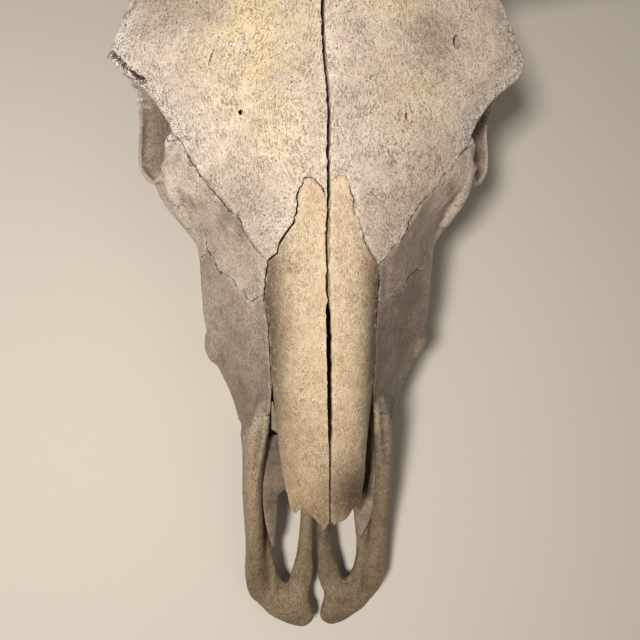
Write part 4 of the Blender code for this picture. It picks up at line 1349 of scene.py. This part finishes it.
        # The colours laid over the base, each by its share.
        colour = linear(self.base)
        for share, over, how in (
                (shares["tint"], self.light, "MIX"), (shares["blush"], self.blush, "MIX"),
                (joined("MULTIPLY", patched, shares["patch"]), self.patch, "MIX"),
                (shares["lighter"], self.light, "MIX"), (shares["darker"], self.blush, "MIX"),
                (front, self.front, "MULTIPLY"),
                # Stains, partly painted shade on the shaded flanks.
                (joined("MULTIPLY", soil_and_shade, shares["soil"]), self.stain, "MULTIPLY"),
                (joined("MULTIPLY", rim, shares["film"]), self.rim, "MIX"),
                (0.5, shares["grains"], "OVERLAY"),
                (dark_lines, self.streak, "MIX"),
                (joined("MAXIMUM", pit, speck, craze), self.streak, "MIX"),
                # Pale edges along the sutures: partly worn edges, partly a painted highlight where a rounded
                # edge catches the light.
                (joined("MULTIPLY", seam, shares["edge"]), self.rim, "MIX"),
                (joined("MULTIPLY", seam, shares["dirt"], 0.85), self.streak, "MIX"),
                # Last, hollows darkened: painted shade, with the dirt that gathers there.
                (grime_and_shade, self.streak, "MULTIPLY")):
            colour = add("Mix", {0: share, 6: colour, 7: linear(over) if isinstance(over, str) else over},
                         data_type="RGBA", blend_type=how).outputs[2]
        tree.links.new(colour, shader.inputs["Base Color"])
        tree.links.new(shares["rough"].outputs[0], shader.inputs["Roughness"])
        shader.inputs["Specular IOR Level"].default_value = 0.35
        low = joined("MAXIMUM", dark_lines, pit, craze)
        grit = add("Bump", {"Strength": 0.6, "Distance": 0.5 * MM,
                            "Height": joined("SUBTRACT", found["fine"], low)})
        swell = add("Bump", {"Strength": 0.4, "Distance": 1.0 * MM, "Height": found["swell"], "Normal": grit})
        tree.links.new(swell.outputs[0], shader.inputs["Normal"])
        return made


@dataclass(frozen=True)
class PlainFinish:
    """A simpler surface: one colour clouded by a second, with a fine bump."""

    name: str
    base: str
    cloud: str
    size: float                # mm across the clouds
    rough: float = 0.5
    bump: float = 0.2
    streaky: float = 1.0       # how much longer than wide the clouds are, along the grain
    tip: str = ""              # the colour where the tone's first value is 1, if it has one
    # the colour that darkens hollows: painted shade, with the dirt that gathers there
    grime_and_shade: str = "#4a3a28"

    def material(self) -> Material:
        """Builds the node tree.

        Returns:
            The material.
        """
        made = bpy.data.materials.new(self.name)
        made.use_nodes = True
        tree = made.node_tree
        shader = tree.nodes["Principled BSDF"]
        add = partial(add_node, tree)
        if self.streaky == 1.0:
            source = add("TexCoord").outputs["Object"]
        else:
            source = add("Attribute", attribute_name="grain").outputs["Vector"]
        drawn = add("Mapping", {"Vector": source, "Scale": (1, 1 / self.streaky, 1)})
        tone = add("Attribute", attribute_name="tone").outputs["Vector"]
        tip, _, grime_and_shade = tuple(add("SeparateXYZ", {0: tone}).outputs)
        noisy = add("TexNoise", {"Vector": drawn, "Scale": 1 / (self.size * MM), "Detail": 4.0,
                                 "Roughness": 0.6})
        colour = linear(self.base)
        # Clouds, the tip's colour, then hollows darkened as painted shade with dirt.
        for share, over, how in ((add("MapRange", {0: noisy, 1: 0.35, 2: 0.68}), self.cloud, "MIX"),
                                 (tip, self.tip, "MIX"), (grime_and_shade, self.grime_and_shade, "MULTIPLY")):
            if over:
                colour = add("Mix", {0: share, 6: colour, 7: linear(over)}, data_type="RGBA",
                             blend_type=how).outputs[2]
        tree.links.new(colour, shader.inputs["Base Color"])
        shader.inputs["Roughness"].default_value = self.rough
        bump = add("Bump", {"Strength": self.bump, "Distance": 0.5 * MM, "Height": noisy})
        tree.links.new(bump.outputs[0], shader.inputs["Normal"])
        return made


FINISHES = {
    # The thick plates of the forehead lie open to the weather: palest, with the most pores and dashes.
    "forehead_bone": BoneFinish("weathered_bone_forehead", "#c9b8a6", "#d9cab8", "#b39e90", dashes=0.55,
                                pits=0.9),
    # The nasals are thin and dense: smoother and warmer, with long growth lines.
    "nasal_bone": BoneFinish("weathered_bone_nose", "#cbb495", "#d9c5a5", "#b79879", pits=0.4,
                             front="#d8d2c9", wide=0.85, long=8.0, specks=0.5, mottled=0.25, rough=0.58),
    # The walls of the face are greyed and duller, with paler worn patches.
    "cheek_bone": BoneFinish("weathered_bone_cheek", "#9b8c7e", "#b3a595", "#7e6f62", patch="#dccdbc",
                             streaks=0.6, mottled=0.5, specks=0.8),
    # The muzzle is spongier: grey-brown, full of dark pores.
    "muzzle_bone": BoneFinish("weathered_bone_muzzle", "#9c8c79", "#b8a88f", "#766650", patch="#c0b09a",
                              dashes=0.5, streaks=0.65, pits=1.0, long=3.2, mottled=0.75, specks=0.9),
    # The back and the base, which the photo doesn't show: dull and even.
    "base_bone": BoneFinish("weathered_bone_base", "#ad9d86", "#c2b39c", "#8c7c66", dashes=0.3, streaks=0.4),
    # Enamel, polished by chewing and stained by what was chewed: glossy cream, brown in its folds from stain
    # and painted shade.
    "cheek_teeth": PlainFinish("stained_enamel", "#d2c29e", "#94794c", 3.4, rough=0.3, bump=0.15),
    # Keratin, laid down in rings and dried: satin, grey-brown streaks and a nearly black tip.
    "horn_sheath": PlainFinish("ringed_keratin", "#7d7364", "#4f473c", 1.2, rough=0.42, bump=0.35,
                               streaky=14.0, tip="#1d1a17"),
}
# Hair and skin dried on the bone: brown-black and dull, too fine for a pattern.
DRIED_HAIR = PlainFinish("dried_hair", "#2e231a", "#4a3a2a", 0.5, bump=0.0, grime_and_shade="")
# A painted board: matt, pale and even.
MATT_FLOOR = PlainFinish("matt_floor", "#c6c0b5", "#c6c0b5", 400, rough=0.9, bump=0.0, grime_and_shade="")


# ---------------------------------------------------------------- dressing
def places_of(obj: Piece) -> np.ndarray:
    """The object's vertices as rows of x, s and z in millimetres.

    Args:
        obj: a mesh object.

    Returns:
        The rows.
    """
    flat = np.empty(len(obj.data.vertices) * 3, np.float32)
    obj.data.vertices.foreach_get("co", flat)
    places = flat.reshape(-1, 3).astype(float) / MM
    places[:, 1] += ORIGIN_S
    return places


def write_vector(obj: Piece, name: str, values: np.ndarray) -> None:
    """Stores one vector for each vertex under this attribute name."""
    layer = obj.data.attributes.new(name, "FLOAT_VECTOR", "POINT")
    layer.data.foreach_set("vector", values.astype(np.float32).ravel())


def hollows(obj: Piece, rounds: int = 14) -> np.ndarray:
    """How far each vertex lies below its smoothed surroundings, in millimetres.

    Args:
        obj: the mesh object.
        rounds: how often the surroundings are averaged, which sets how wide they are.

    Returns:
        One number for each vertex, above 0 in a hollow and below 0 on an edge.
    """
    places = places_of(obj)
    pairs = np.empty(len(obj.data.edges) * 2, np.int32)
    obj.data.edges.foreach_get("vertices", pairs)
    pairs = pairs.reshape(-1, 2)
    number = len(places)
    count = np.maximum(np.bincount(pairs.ravel(), minlength=number), 1)[:, None]
    smooth = places.copy()
    for _ in range(rounds):
        total = np.column_stack([
            np.bincount(pairs[:, 0], smooth[pairs[:, 1], axis], number)
            + np.bincount(pairs[:, 1], smooth[pairs[:, 0], axis], number)
            for axis in range(3)
        ])
        smooth = 0.5 * smooth + 0.5 * total / count
    normals = np.empty(number * 3, np.float32)
    obj.data.vertex_normals.foreach_get("vector", normals)
    return ((smooth - places) * normals.reshape(-1, 3)).sum(axis=1)


Stain = tuple[float, float, float, float, float]     # x, s, reach across, reach along, share
Stains = tuple[Stain, ...]


def stained(places: np.ndarray, stains: Iterable[Stain]) -> np.ndarray:
    """How strongly each place lies in one of these soft oval patches, from 0 to their share.

    Args:
        places: rows of x, s and z.
        stains: the patches.

    Returns:
        One share for each place.
    """
    share = np.zeros(len(places))
    for x, s, across, along, most in stains:
        share = np.maximum(share, most * np.exp(-((places[:, 0] - x) / across) ** 2
                                                - ((places[:, 1] - s) / along) ** 2))
    return share


@dataclass
class Bone:
    """One bone: its piece in the scene, where it goes and what it wears."""

    node: str
    slot: str
    clay: Clay
    radial: bool = False       # growth lines that fan out from behind the poll
    patches: Stains = ()
    stains: Stains = ()
    seam: np.ndarray | None = None
    crease: float = 48.0       # degrees past which its edges stay sharp
    fan_s: float = 560.0       # the place behind the poll
    fan_wide: float = 240.0    # how far in front of it the lines have their true distance

    def _grain(self, places: np.ndarray) -> np.ndarray:
        """Coordinates in metres whose second value runs along the growth lines.

        Args:
            places: rows of x, s and z.

        Returns:
            One row for each place.
        """
        x, s, z = places.T
        if self.radial:
            behind = self.fan_s - s
            waves = 3.5 * np.sin(s / 15 + x / 29) + 3.0 * np.sin(x / 9 - s / 21)
            across = np.arctan2(x, behind) * self.fan_wide + waves
            return np.column_stack([across, np.hypot(x, behind), z]) * MM
        return places * MM

    def _tone(self, places: np.ndarray, roof: Roof) -> np.ndarray:
        """Three shares for each vertex: of a darker tint towards the muzzle, of a grey rim, and of grime with
        painted shade.

        Args:
            places: rows of x, s and z.
            roof: where the rims of the eye sockets are read from.

        Returns:
            One row for each place.
        """
        x, s, z = places.T
        front = np.clip((172 - s) / 95, 0, 1)
        rim = np.clip((np.abs(x - LEAN(s)) - (roof.half(s) - 17)) / 11, 0, 1)
        rim *= np.clip((s - 296) / 12, 0, 1) * np.clip((400 - s) / 25, 0, 1) * (z > 120)
        # Darker in hollows and creases: painted shade, with the dirt that gathers there.
        grime_and_shade = np.clip(0.12 + 0.5 * hollows(self.clay.obj), 0, 0.85)
        return np.column_stack([front, rim, grime_and_shade])

    def dress(self, material: Material, roof: Roof) -> Piece:
        """Marks, paints and places the finished bone.

        Args:
            material: its finish.
            roof: where the rims of the eye sockets are read from.

        Returns:
            The piece.
        """
        obj = self.clay.obj
        obj.name = self.node + "_piece"
        places = places_of(obj)
        write_vector(obj, "grain", self._grain(places))
        write_vector(obj, "tone", self._tone(places, roof))
        # Worn patches; stains, partly painted shade; and closeness to a suture, which gives dark joints and
        # partly painted pale edges.
        write_vector(obj, "wear_and_painted_light", np.column_stack([
            stained(places, self.patches), stained(places, self.stains), self.seam]))
        return self.clay.finish(material, self.slot, self.node, self.crease)


def press_seams(bones: Sequence[Bone], reach: float = 2.4, touching: float = 0.4, deep: float = 0.3) -> None:
    """Rounds the bones' edges down into the sutures between them, unevenly, and notes where they are.

    Args:
        bones: all the bones, in place.
        reach: how far from the next bone an edge is touched, in millimetres.
        touching: how far away the next bone is across a suture.
        deep: how far an edge is pressed in at the most.
    """
    sets = [places_of(bone.clay.obj) for bone in bones]
    tree = KDTree(sum(len(places) for places in sets))
    owners = np.concatenate([np.full(len(places), i) for i, places in enumerate(sets)])
    for i, place in enumerate(np.concatenate(sets)):
        tree.insert(place, i)
    tree.balance()
    for own, (bone, places) in enumerate(zip(bones, sets)):
        mesh = bmesh.new()
        mesh.from_mesh(bone.clay.obj.data)
        mesh.normal_update()
        bone.seam = np.zeros(len(places))
        for vert, place in zip(mesh.verts, places):
            near = [far for _, i, far in tree.find_range(place, reach) if owners[i] != own]
            if near:
                share = max(0.0, 1 - (min(near) - touching) / (reach - touching))
                uneven = 0.55 + 0.9 * noise.noise(Vector(place) / 11) + 0.5 * noise.noise(Vector(place) / 3)
                bone.seam[vert.index] = share * min(1.0, max(0.25, uneven + 0.3))
                vert.co -= vert.normal * deep * MM * share ** 2 * min(1.0, max(0.1, uneven))
        mesh.to_mesh(bone.clay.obj.data)
        mesh.free()


@dataclass
class Skull:
    """All the bones, from clay to finish."""

    roof: Roof = field(default_factory=Roof)
    face: Face = field(default_factory=Face)
    case: Braincase = field(default_factory=Braincase)
    cracks: Cracks = field(default_factory=Cracks)
    softened: int = 5          # rounds of smoothing
    swells: tuple[Pair, ...] = ((0.35, 11.0), (0.16, 3.6))     # how high and how far apart
    patches: Stains = (
        (-40, 352, 24, 40, 0.7), (-20, 372, 18, 30, 0.6), (-60, 392, 24, 24, 0.5), (38, 388, 22, 26, 0.6),
        (52, 330, 22, 26, 0.35), (-24, 306, 18, 26, 0.5))
    stains: Stains = (
        (45, 262, 26, 30, 0.3), (-45, 250, 20, 30, 0.4), (-92, 380, 30, 26, 0.4), (-70, 372, 16, 14, 0.4),
        (60, 352, 16, 18, 0.4))
    # Darker patches on the nose. The strongest, on the left nasal's outer flank, is partly dirt and partly
    # painted shade where that flank turns away from the light.
    nose_stains_and_shade: Stains = (
        (36, 180, 12, 120, 1.4), (-36, 195, 14, 100, 1.0), (18, 96, 20, 24, 0.9), (-10, 84, 18, 14, 0.5),
        (-20, 130, 10, 30, 0.3))
    arm_patches: Stains = (
        (-46, 90, 7, 50, 0.9), (46, 90, 6, 44, 0.6), (-22, 16, 18, 9, 0.7), (-38, 40, 6, 16, 0.6),
        (38, 40, 5, 14, 0.6))
    seam_stains: Stains = (
        (-84, 304, 5, 7, 0.35), (-76, 292, 5, 7, 0.3), (-67, 279, 5, 7, 0.4), (-56, 265, 5, 8, 0.45),
        (-48, 253, 5, 7, 0.45))
    muzzle_stains: Stains = (
        (-32, -3, 26, 5, 0.45), (32, -3, 26, 5, 0.45), (30, 20, 30, 22, 0.3), (46, 110, 14, 60, 0.35),
        (-44, 34, 14, 16, 0.3), (8, 60, 7, 40, 0.6))
    cheek_patches: Stains = ((-76, 286, 30, 30, 1.0), (-58, 246, 26, 26, 0.5), (78, 288, 26, 26, 0.9))
    # Darker patches on the cheeks. The first, on the left cheek, is partly dirt and partly painted shade on
    # the side that turns away from the light.
    cheek_stains_and_shade: Stains = ((44, 190, 44, 90, 0.45), (-46, 150, 22, 60, 0.35), (-72, 205, 20, 50, 0.2))

    def model(self) -> Clay:
        """The whole skull in one piece, hollowed and opened.

        Returns:
            The clay.
        """
        clay = Clay("skull", [*self.roof.nose(), *self.face.masses(), *self.face.arches(),
                              *self.case.masses(), self.face.septum()])
        clay.fuse(GRAIN)
        for socket in self.case.sockets():
            clay.cut([socket])
        clay.add([*self.roof.forehead(), *self.roof.rims()])
        clay.fuse(GRAIN)
        clay.soften(self.softened)
        for high, long in self.swells:
            clay.ripple(high, long)
        for opening in self.case.openings():
            clay.cut([opening])
        clay.lean()
        return clay

    def open_cracks(self, clay: Clay) -> None:
        """Cuts what has cracked, broken or worn through.

        Args:
            clay: the whole skull.
        """
        under_floor = prism([(-160, -40), (160, -40), (160, 540), (-160, 540)], -40, 0)
        for shape in (self.cracks.nasal_tips(), self.cracks.midline(self.roof), *self.cracks.nasal_slits(),
                      *self.cracks.holes(), under_floor):
            clay.cut([shape])

    def part(self, clay: Clay) -> list[Bone]:
        """Parts the skull into its bones.

        Args:
            clay: the whole skull, which is used up.

        Returns:
            The bones.
        """
        sutures = Sutures(self.cracks)
        bones: list[Bone] = []

        def both(name: str, slot: str, mould: Callable[[Side], Mesh], gap: float = CUT,
                 **traits: object) -> None:
            """Takes a bone and its twin.

            Args:
                name: the bone's name without its side.
                slot: its material slot.
                mould: gives the mould of each side.
                gap: the width of the cut round it.
                traits: the rest of what a Bone is told.
            """
            for side in Side:
                bones.append(Bone(f"{name}_{side.word}", slot, clay.take(mould(side), gap), **traits))

        for side in Side:
            clay.cut([sutures.gape(side)])
        both("nasal", "nasal_bone", sutures.nasal, CLOSED, stains=self.nose_stains_and_shade)
        bones.append(Bone("vomer", "base_bone", clay.take(sutures.vomer())))
        bones.append(Bone("parietal", "base_bone", clay.take(sutures.parietal(), CLOSED)))
        both("zygomatic", "cheek_bone", sutures.zygomatic, CLOSED, patches=self.cheek_patches)
        both("frontal", "forehead_bone", sutures.frontal, CLOSED, radial=True, patches=self.patches,
             stains=self.stains + self.seam_stains)
        both("lacrimal", "cheek_bone", sutures.lacrimal, CLOSED, patches=self.cheek_patches,
             stains=self.seam_stains)
        both("premaxilla", "muzzle_bone", sutures.premaxilla, patches=self.arm_patches,
             stains=self.muzzle_stains)
        both("palatine", "base_bone", sutures.palatine)
        both("maxilla", "cheek_bone", sutures.maxilla, CLOSED, stains=self.cheek_stains_and_shade)
        both("temporal", "base_bone", sutures.temporal, CLOSED)
        bones.append(Bone("occipital", "base_bone", clay.take(sutures.occipital())))
        bones.append(Bone("sphenoid", "base_bone", clay))
        for bone in bones:
            bone.clay.largest()
        press_seams(bones)
        return bones


@dataclass
class Teeth:
    """The six cheek teeth of each side, worn to a common table."""

    face: Face
    # where each starts and ends, and its width
    teeth: Points = (
        (138, 152, 12), (152, 169, 15), (169, 187, 18), (187, 211, 22), (211, 239, 24), (239, 268, 23))
    single: int = 3            # how many in front have one pillar
    # its share of its full size at each height
    levels: tuple[Pair, ...] = (
        (0, 0.97), (0.8, 1.0), (3, 1.0), (7, 0.985), (11, 0.95), (14, 0.91), (17, 0.86), (20, 0.80),
        (24, 0.74))
    apart: float = 0.7         # between neighbours
    square: float = 0.55       # how square one is in plan: 1 is an oval, less is squarer
    groove: float = 3.2        # how deep the grooves of the outer side are
    pinch: float = 1.8         # how deep the inner side is pinched between two pillars
    lean_out: float = 0.06     # how far out it leans towards its table, for each millimetre of height

    def tooth(self, first: float, last: float, wide: float, lobes: int) -> Mesh:
        """One tooth of the left row: two pillars wide, or one if it stands in front.

        Args:
            first: where it starts.
            last: where it ends.
            wide: its width across.
            lobes: how many pillars its outer side shows.

        Returns:
            The closed mesh, its grinding face at the floor.
        """
        middle, half_s = 0.5 * (first + last), 0.5 * (last - first - self.apart)
        centre = self.face.row_x(middle) - 1 - wide / 2
        rings = []
        for z, grow in self.levels:
            ring = []
            for turn in turns(72):
                c, ahead = math.cos(turn), boxy(math.sin(turn), self.square)
                ridges = abs(math.sin(0.5 * math.pi * lobes * (ahead + 1)))
                fold = 0.8 - self.groove * ridges ** 0.7 + 1.1 * ridges ** 5 if c > 0.2 else 0.0
                worn = max(0.0, 1 - z / 3) * (1.5 * ridges if c > 0.2 else 0.4 + 0.4 * math.sin(5 * turn))
                pinch = self.pinch * math.exp(-(ahead / 0.16) ** 2) if lobes == 2 and c < -0.2 else 0.0
                x = centre + (26 - z) * self.lean_out + grow * wide / 2 * boxy(c, self.square) + fold + pinch
                ring.append(at(x, middle + grow * half_s * ahead, z + worn + 0.02))
            rings.append(ring)
        return wrap(rings)

    def build(self, material: Material) -> list[Piece]:
        """Makes each side's row as one piece.

        Args:
            material: the enamel.

        Returns:
            The two rows.
        """
        rows = []
        for side in Side:
            row = [self.tooth(*tooth, 1 if i < self.single else 2) for i, tooth in enumerate(self.teeth)]
            if side is Side.RIGHT:
                row = [mirrored(mesh) for mesh in row]
            clay = Clay(f"cheek_teeth_{side.word}", row)
            clay.lean()
            # Darker in the folds: painted shade, with the stain that gathers there.
            grime_and_shade = np.clip(0.2 + 2.2 * hollows(clay.obj, 4), 0, 0.9)
            write_vector(clay.obj, "tone", np.column_stack([0 * grime_and_shade, 0 * grime_and_shade, grime_and_shade]))
            rows.append(clay.finish(material, "cheek_teeth", f"maxilla_{side.word}"))
        return rows


@dataclass
class Horns:
    """The two horn sheaths, out from their bony cores and up to the tips."""

    line: Points = (
        (97, 455, 184, 27, 24.5), (108, 456, 186, 27.5, 24.5), (128, 458, 189, 26, 23.5),
        (158, 460, 194, 23, 21.5), (190, 459, 205, 19.5, 18.5), (216, 454, 225, 16, 15.5),
        (233, 445, 251, 11.5, 11.5), (239, 435, 275, 7, 7), (240, 429, 289, 3.4, 3.4),
        (240, 427, 294, 0.8, 0.8))
    socket: Points = ((60, 452, 177, 27, 22), (92, 454, 183, 26, 22), (115, 456.5, 187, 24, 21.5))
    around: int = 56
    ringed: float = 120.0      # how far along a sheath its rings fade out
    ring: float = 7.5          # mm along it for each radian of the wave that makes them
    frayed: float = 9.0        # how far along its ragged start reaches
    dark: Pair = (95.0, 185.0)     # where the tip's colour starts and where it is full

    def sheath(self) -> tuple[Mesh, list[Vector], list[float]]:
        """The left sheath with its growth rings.

        Returns:
            The closed mesh, its middle line and how far along it each of its points is.
        """
        line = flowing(self.line, 14)
        places = [at(*p[:3]) for p in line]
        run = [0.0]
        for a, b in zip(places, places[1:]):
            run.append(run[-1] + (b - a).length / MM)
        rings = []
        for place, (ahead, across, lift), values, far in zip(places, frames(places), line, run):
            wide, high = (max(v, 0.3) for v in values[3:])
            fade = max(0.0, 1 - far / self.ringed)
            wave = fade * (0.9 * abs(math.sin(far / self.ring + 0.6 * waver(far / 30, 4))) - 0.5)
            ring = []
            for k, turn in enumerate(turns(self.around)):
                flake = 0.25 * waver(k / 3, 6.0) + 0.4 * fade * waver(k / 6 + far / 25, 2.0)
                out = wave + flake * min(1.0, wide / 8)
                ragged = 2.2 * waver(k / 4, 3.0) + 1.2 * waver(k / 1.3, 8.0)
                ragged *= max(0.0, 1 - far / self.frayed)
                ring.append(place + ahead * ragged * MM + across * (wide + out) * MM * math.cos(turn)
                            + lift * (high + out) * MM * math.sin(turn))
            rings.append(ring)
        return wrap(rings), places, run

    def build(self, material: Material) -> list[Piece]:
        """Makes and places both sheaths.

        Args:
            material: the keratin.

        Returns:
            The two sheaths.
        """
        mesh, places, far = self.sheath()
        socket = bar(*self.socket)
        horns = []
        for side in Side:
            left = side is Side.LEFT
            clay = Clay(f"horn_{side.word}_piece", [mesh.copy() if left else mirrored(mesh)])
            clay.cut([socket.copy() if left else mirrored(socket)])
            line = [Vector((p.x * side.value, p.y, p.z)) for p in places]
            points = [v.co.copy() for v in clay.obj.data.vertices]
            nearest = [min(range(0, len(line), 2), key=lambda i: (line[i] - p).length_squared)
                       for p in points]
            run = np.array([far[i] for i in nearest])
            turn = np.array([math.atan2((p - line[i]).z, (p - line[i]).y) for p, i in zip(points, nearest)])
            write_vector(clay.obj, "grain", np.column_stack([20 * np.cos(turn), run, 20 * np.sin(turn)]) * MM)
            start, full = self.dark
            # The tone: how far the tip's dark colour reaches, and darker hollows as painted shade with dirt.
            write_vector(clay.obj, "tone", np.column_stack([
                np.clip((run - start) / (full - start), 0, 1), 0 * run,
                np.clip(0.25 + 1.5 * hollows(clay.obj, 6), 0, 0.8)]))
            horns.append(clay.finish(material, "horn_sheath", f"horn_{side.word}"))
        mesh.free()
        socket.free()
        return horns


@dataclass
class Remnants:
    """Thin plates left inside the nose, and skin with hairs dried on at the brow."""

    plates: dict[Side, Points] = field(default_factory=lambda: {
        Side.RIGHT: (
            (-36.4, 134, 78, -26, 136, 72, 0.7), (-38.8, 115, 68, -23, 116, 60, 0.8),
            (-39.6, 101, 61, -22, 99, 51, 0.8), (-39.2, 87, 54, -28, 92, 46, 0.8),
            (-37.6, 72, 46, -29.7, 78, 42, 0.8), (-34, 57, 36, -32, 54, 33, 0.6)),
        Side.LEFT: (
            (36.8, 148, 92, 34, 146, 84, 0.7), (39.6, 129, 80, 35, 129, 72, 0.8),
            (41.4, 108, 68, 35.4, 108, 62, 0.8), (41, 88, 57, 32, 84, 50, 0.8),
            (37.5, 74, 47, 26.5, 73, 42, 0.8), (31, 58, 36, 28.4, 60, 34, 0.6)),
    })
    wedge: Points = (
        (-32.6, 157, 107, -31.8, 157, 107.3, 0.4), (-32.8, 149, 103, -30.0, 148, 104, 0.6),
        (-33.0, 140, 97, -28.2, 137, 97, 0.5))
    roots: Points = (
        (-116.6, 353.6, 158.8), (-114, 351, 159.2), (-111.5, 348, 159.2), (-108, 344.4, 158.8),
        (-105, 342, 158.2), (-102, 340.2, 158.2))
    skin: Points = (
        (-116.5, 353.5, 158.2, 0.2, 0.2), (-114, 351, 158.8, 0.45, 0.3), (-111, 347.5, 159, 0.3, 0.3),
        (-108, 344.6, 158.4, 0.6, 0.4), (-105, 342, 157.6, 1.5, 0.8), (-102.6, 340.6, 157.6, 1.0, 0.6),
        (-100, 339.2, 157.8, 0.3, 0.3))
    hairs: int = 70
    seed: int = 4
    stain: float = 0.45        # how dirty the plates are

    def _piece(self, name: str, meshes: Sequence[Mesh], slot: str, material: Material,
               stain: float = 0.0) -> Piece:
        """Makes one piece of these shapes, marks it and puts it on the skull.

        Args:
            name: the piece's name.
            meshes: its shapes, which are used up.
            slot: its material slot.
            material: what it is made of.
            stain: how dirty it is.

        Returns:
            The piece.
        """
        clay = Clay(name, meshes)
        places = places_of(clay.obj)
        write_vector(clay.obj, "grain", places * MM)
        write_vector(clay.obj, "tone", np.tile([0, 0, 0.15], (len(places), 1)))
        write_vector(clay.obj, "wear_and_painted_light", np.tile([0, stain, 0], (len(places), 1)))
        return clay.finish(material, slot, crease=ROUND)

    def _hair(self, chance: random.Random) -> Mesh:
        """One short curled hair.

        Args:
            chance: chooses its root, length and curl.

        Returns:
            The closed mesh.
        """
        x, s, z = self.roots[int(chance.random() * len(self.roots))]
        turn, long, curl = chance.uniform(2.2, 5.2), chance.uniform(1.2, 6.0), chance.uniform(-1.6, 1.6)
        x, s = x + chance.uniform(-0.8, 1.6), s + chance.uniform(-1.2, 1.2)
        half, bent = 0.5 * long, turn + curl
        return bar((x + 1.5, s + 0.5, z - 0.5, 0.2, 0.2), (x, s, z + 0.4, 0.18, 0.18),
                   (x + half * math.cos(turn), s + half * math.sin(turn), z + 0.6, 0.14, 0.14),
                   (x + long * math.cos(bent), s + long * math.sin(bent), z - 1.0, 0.07, 0.07), around=6)

    def build(self, bone: Material, hair: Material) -> list[Piece]:
        """Makes the plates, and the skin with its hairs.

        Args:
            bone: what the plates are made of.
            hair: what the skin and the hairs are made of.

        Returns:
            The pieces.
        """
        pieces = []
        for side, points in self.plates.items():
            shapes = (points, self.wedge) if side is Side.RIGHT else (points,)
            meshes = [band(*shape, around=16) for shape in shapes]
            pieces.append(self._piece(f"nose_plates_{side.word}", meshes, "base_bone", bone, self.stain))
        chance = random.Random(self.seed)
        strands = [self._hair(chance) for _ in range(self.hairs)]
        strands.append(bar(*self.skin, around=12))
        return [*pieces, self._piece("dried_hairs", strands, "horn_sheath", hair)]


@dataclass(frozen=True)
class Lamp:
    """One square soft light aimed at the middle of the skull."""

    name: str
    place: Point               # in metres
    size: float
    watts: float
    colour: str
    aim: Point = (0, 0, 0.1)

    def build(self) -> None:
        """Puts it in the scene."""
        data = bpy.data.lights.new(self.name, "AREA")
        data.size, data.energy, data.color = self.size, self.watts, linear(self.colour)[:3]
        lamp = bpy.data.objects.new(self.name, data)
        bpy.context.scene.collection.objects.link(lamp)
        lamp.location = self.place
        lamp.rotation_euler = (Vector(self.aim) - Vector(self.place)).to_track_quat("-Z", "Y").to_euler()


@dataclass
class Studio:
    """A pale floor, soft light and the photograph's camera."""

    floor_half: float = 3.0                   # metres
    lamps: tuple[Lamp, ...] = (
        Lamp("key", (-0.28, -0.18, 0.84), 0.13, 8.3, "#fffaf4"),
        Lamp("fill", (0.5, -0.1, 1.2), 0.8, 1.8, "#fff6ea"))
    sky: str = "#e8e0d6"
    sky_strength: float = 0.16
    sensor: float = 36.0                      # mm wide
    focal: float = 31.5                       # mm
    seat: Point = (-38, 153, 458)             # the camera's place on the skull's measures
    turned: Point = (8.8, -6.0, -1.2)         # degrees about x, y and z

    def _floor(self) -> None:
        """Lays the floor."""
        mesh = bmesh.new()
        bmesh.ops.create_grid(mesh, x_segments=1, y_segments=1, size=self.floor_half)
        data = bpy.data.meshes.new("floor")
        mesh.to_mesh(data)
        mesh.free()
        floor = bpy.data.objects.new("floor", data)
        bpy.context.scene.collection.objects.link(floor)
        data.materials.append(MATT_FLOOR.material())
        floor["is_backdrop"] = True

    def _camera(self) -> None:
        """Sets up the camera."""
        lens = bpy.data.cameras.new("camera")
        lens.lens, lens.sensor_width, lens.clip_start = self.focal, self.sensor, 0.01
        camera = bpy.data.objects.new("camera", lens)
        bpy.context.scene.collection.objects.link(camera)
        turned = [Matrix.Rotation(math.radians(angle), 4, axis) for axis, angle in zip("XYZ", self.turned)]
        camera.matrix_world = Matrix.Translation(at(*self.seat)) @ turned[0] @ turned[1] @ turned[2]
        bpy.context.scene.camera = camera

    def build(self) -> None:
        """Makes the floor, the lights, the surroundings and the camera."""
        self._floor()
        for lamp in self.lamps:
            lamp.build()
        world = bpy.data.worlds.new("studio")
        world.use_nodes = True
        background = world.node_tree.nodes["Background"]
        background.inputs["Color"].default_value = linear(self.sky)
        background.inputs["Strength"].default_value = self.sky_strength
        bpy.context.scene.world = world
        bpy.context.scene.view_settings.view_transform = "Standard"
        self._camera()


def corners(box: tuple[Vector, Vector]) -> list[list[float]]:
    """A box as plain numbers."""
    return [list(box[0]), list(box[1])]


def main() -> None:
    """Builds the skull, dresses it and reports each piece."""
    logging.basicConfig(level=logging.INFO, format="%(name)s: %(message)s")
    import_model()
    solid_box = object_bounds()
    materials = {slot: finish.material() for slot, finish in FINISHES.items()}
    skull = Skull()
    clay = skull.model()
    skull.open_cracks(clay)
    pieces = [bone.dress(materials[bone.slot], skull.roof) for bone in skull.part(clay)]
    pieces += Teeth(skull.face).build(materials["cheek_teeth"])
    pieces += Horns().build(materials["horn_sheath"])
    pieces += Remnants().build(materials["base_bone"], DRIED_HAIR.material())
    for piece in pieces:
        log.info("%s: %d faces", piece.name, len(piece.data.polygons))
    Studio().build()
    {"solids": corners(solid_box), "visual": corners(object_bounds())}


if __name__ == "__main__":
    main()
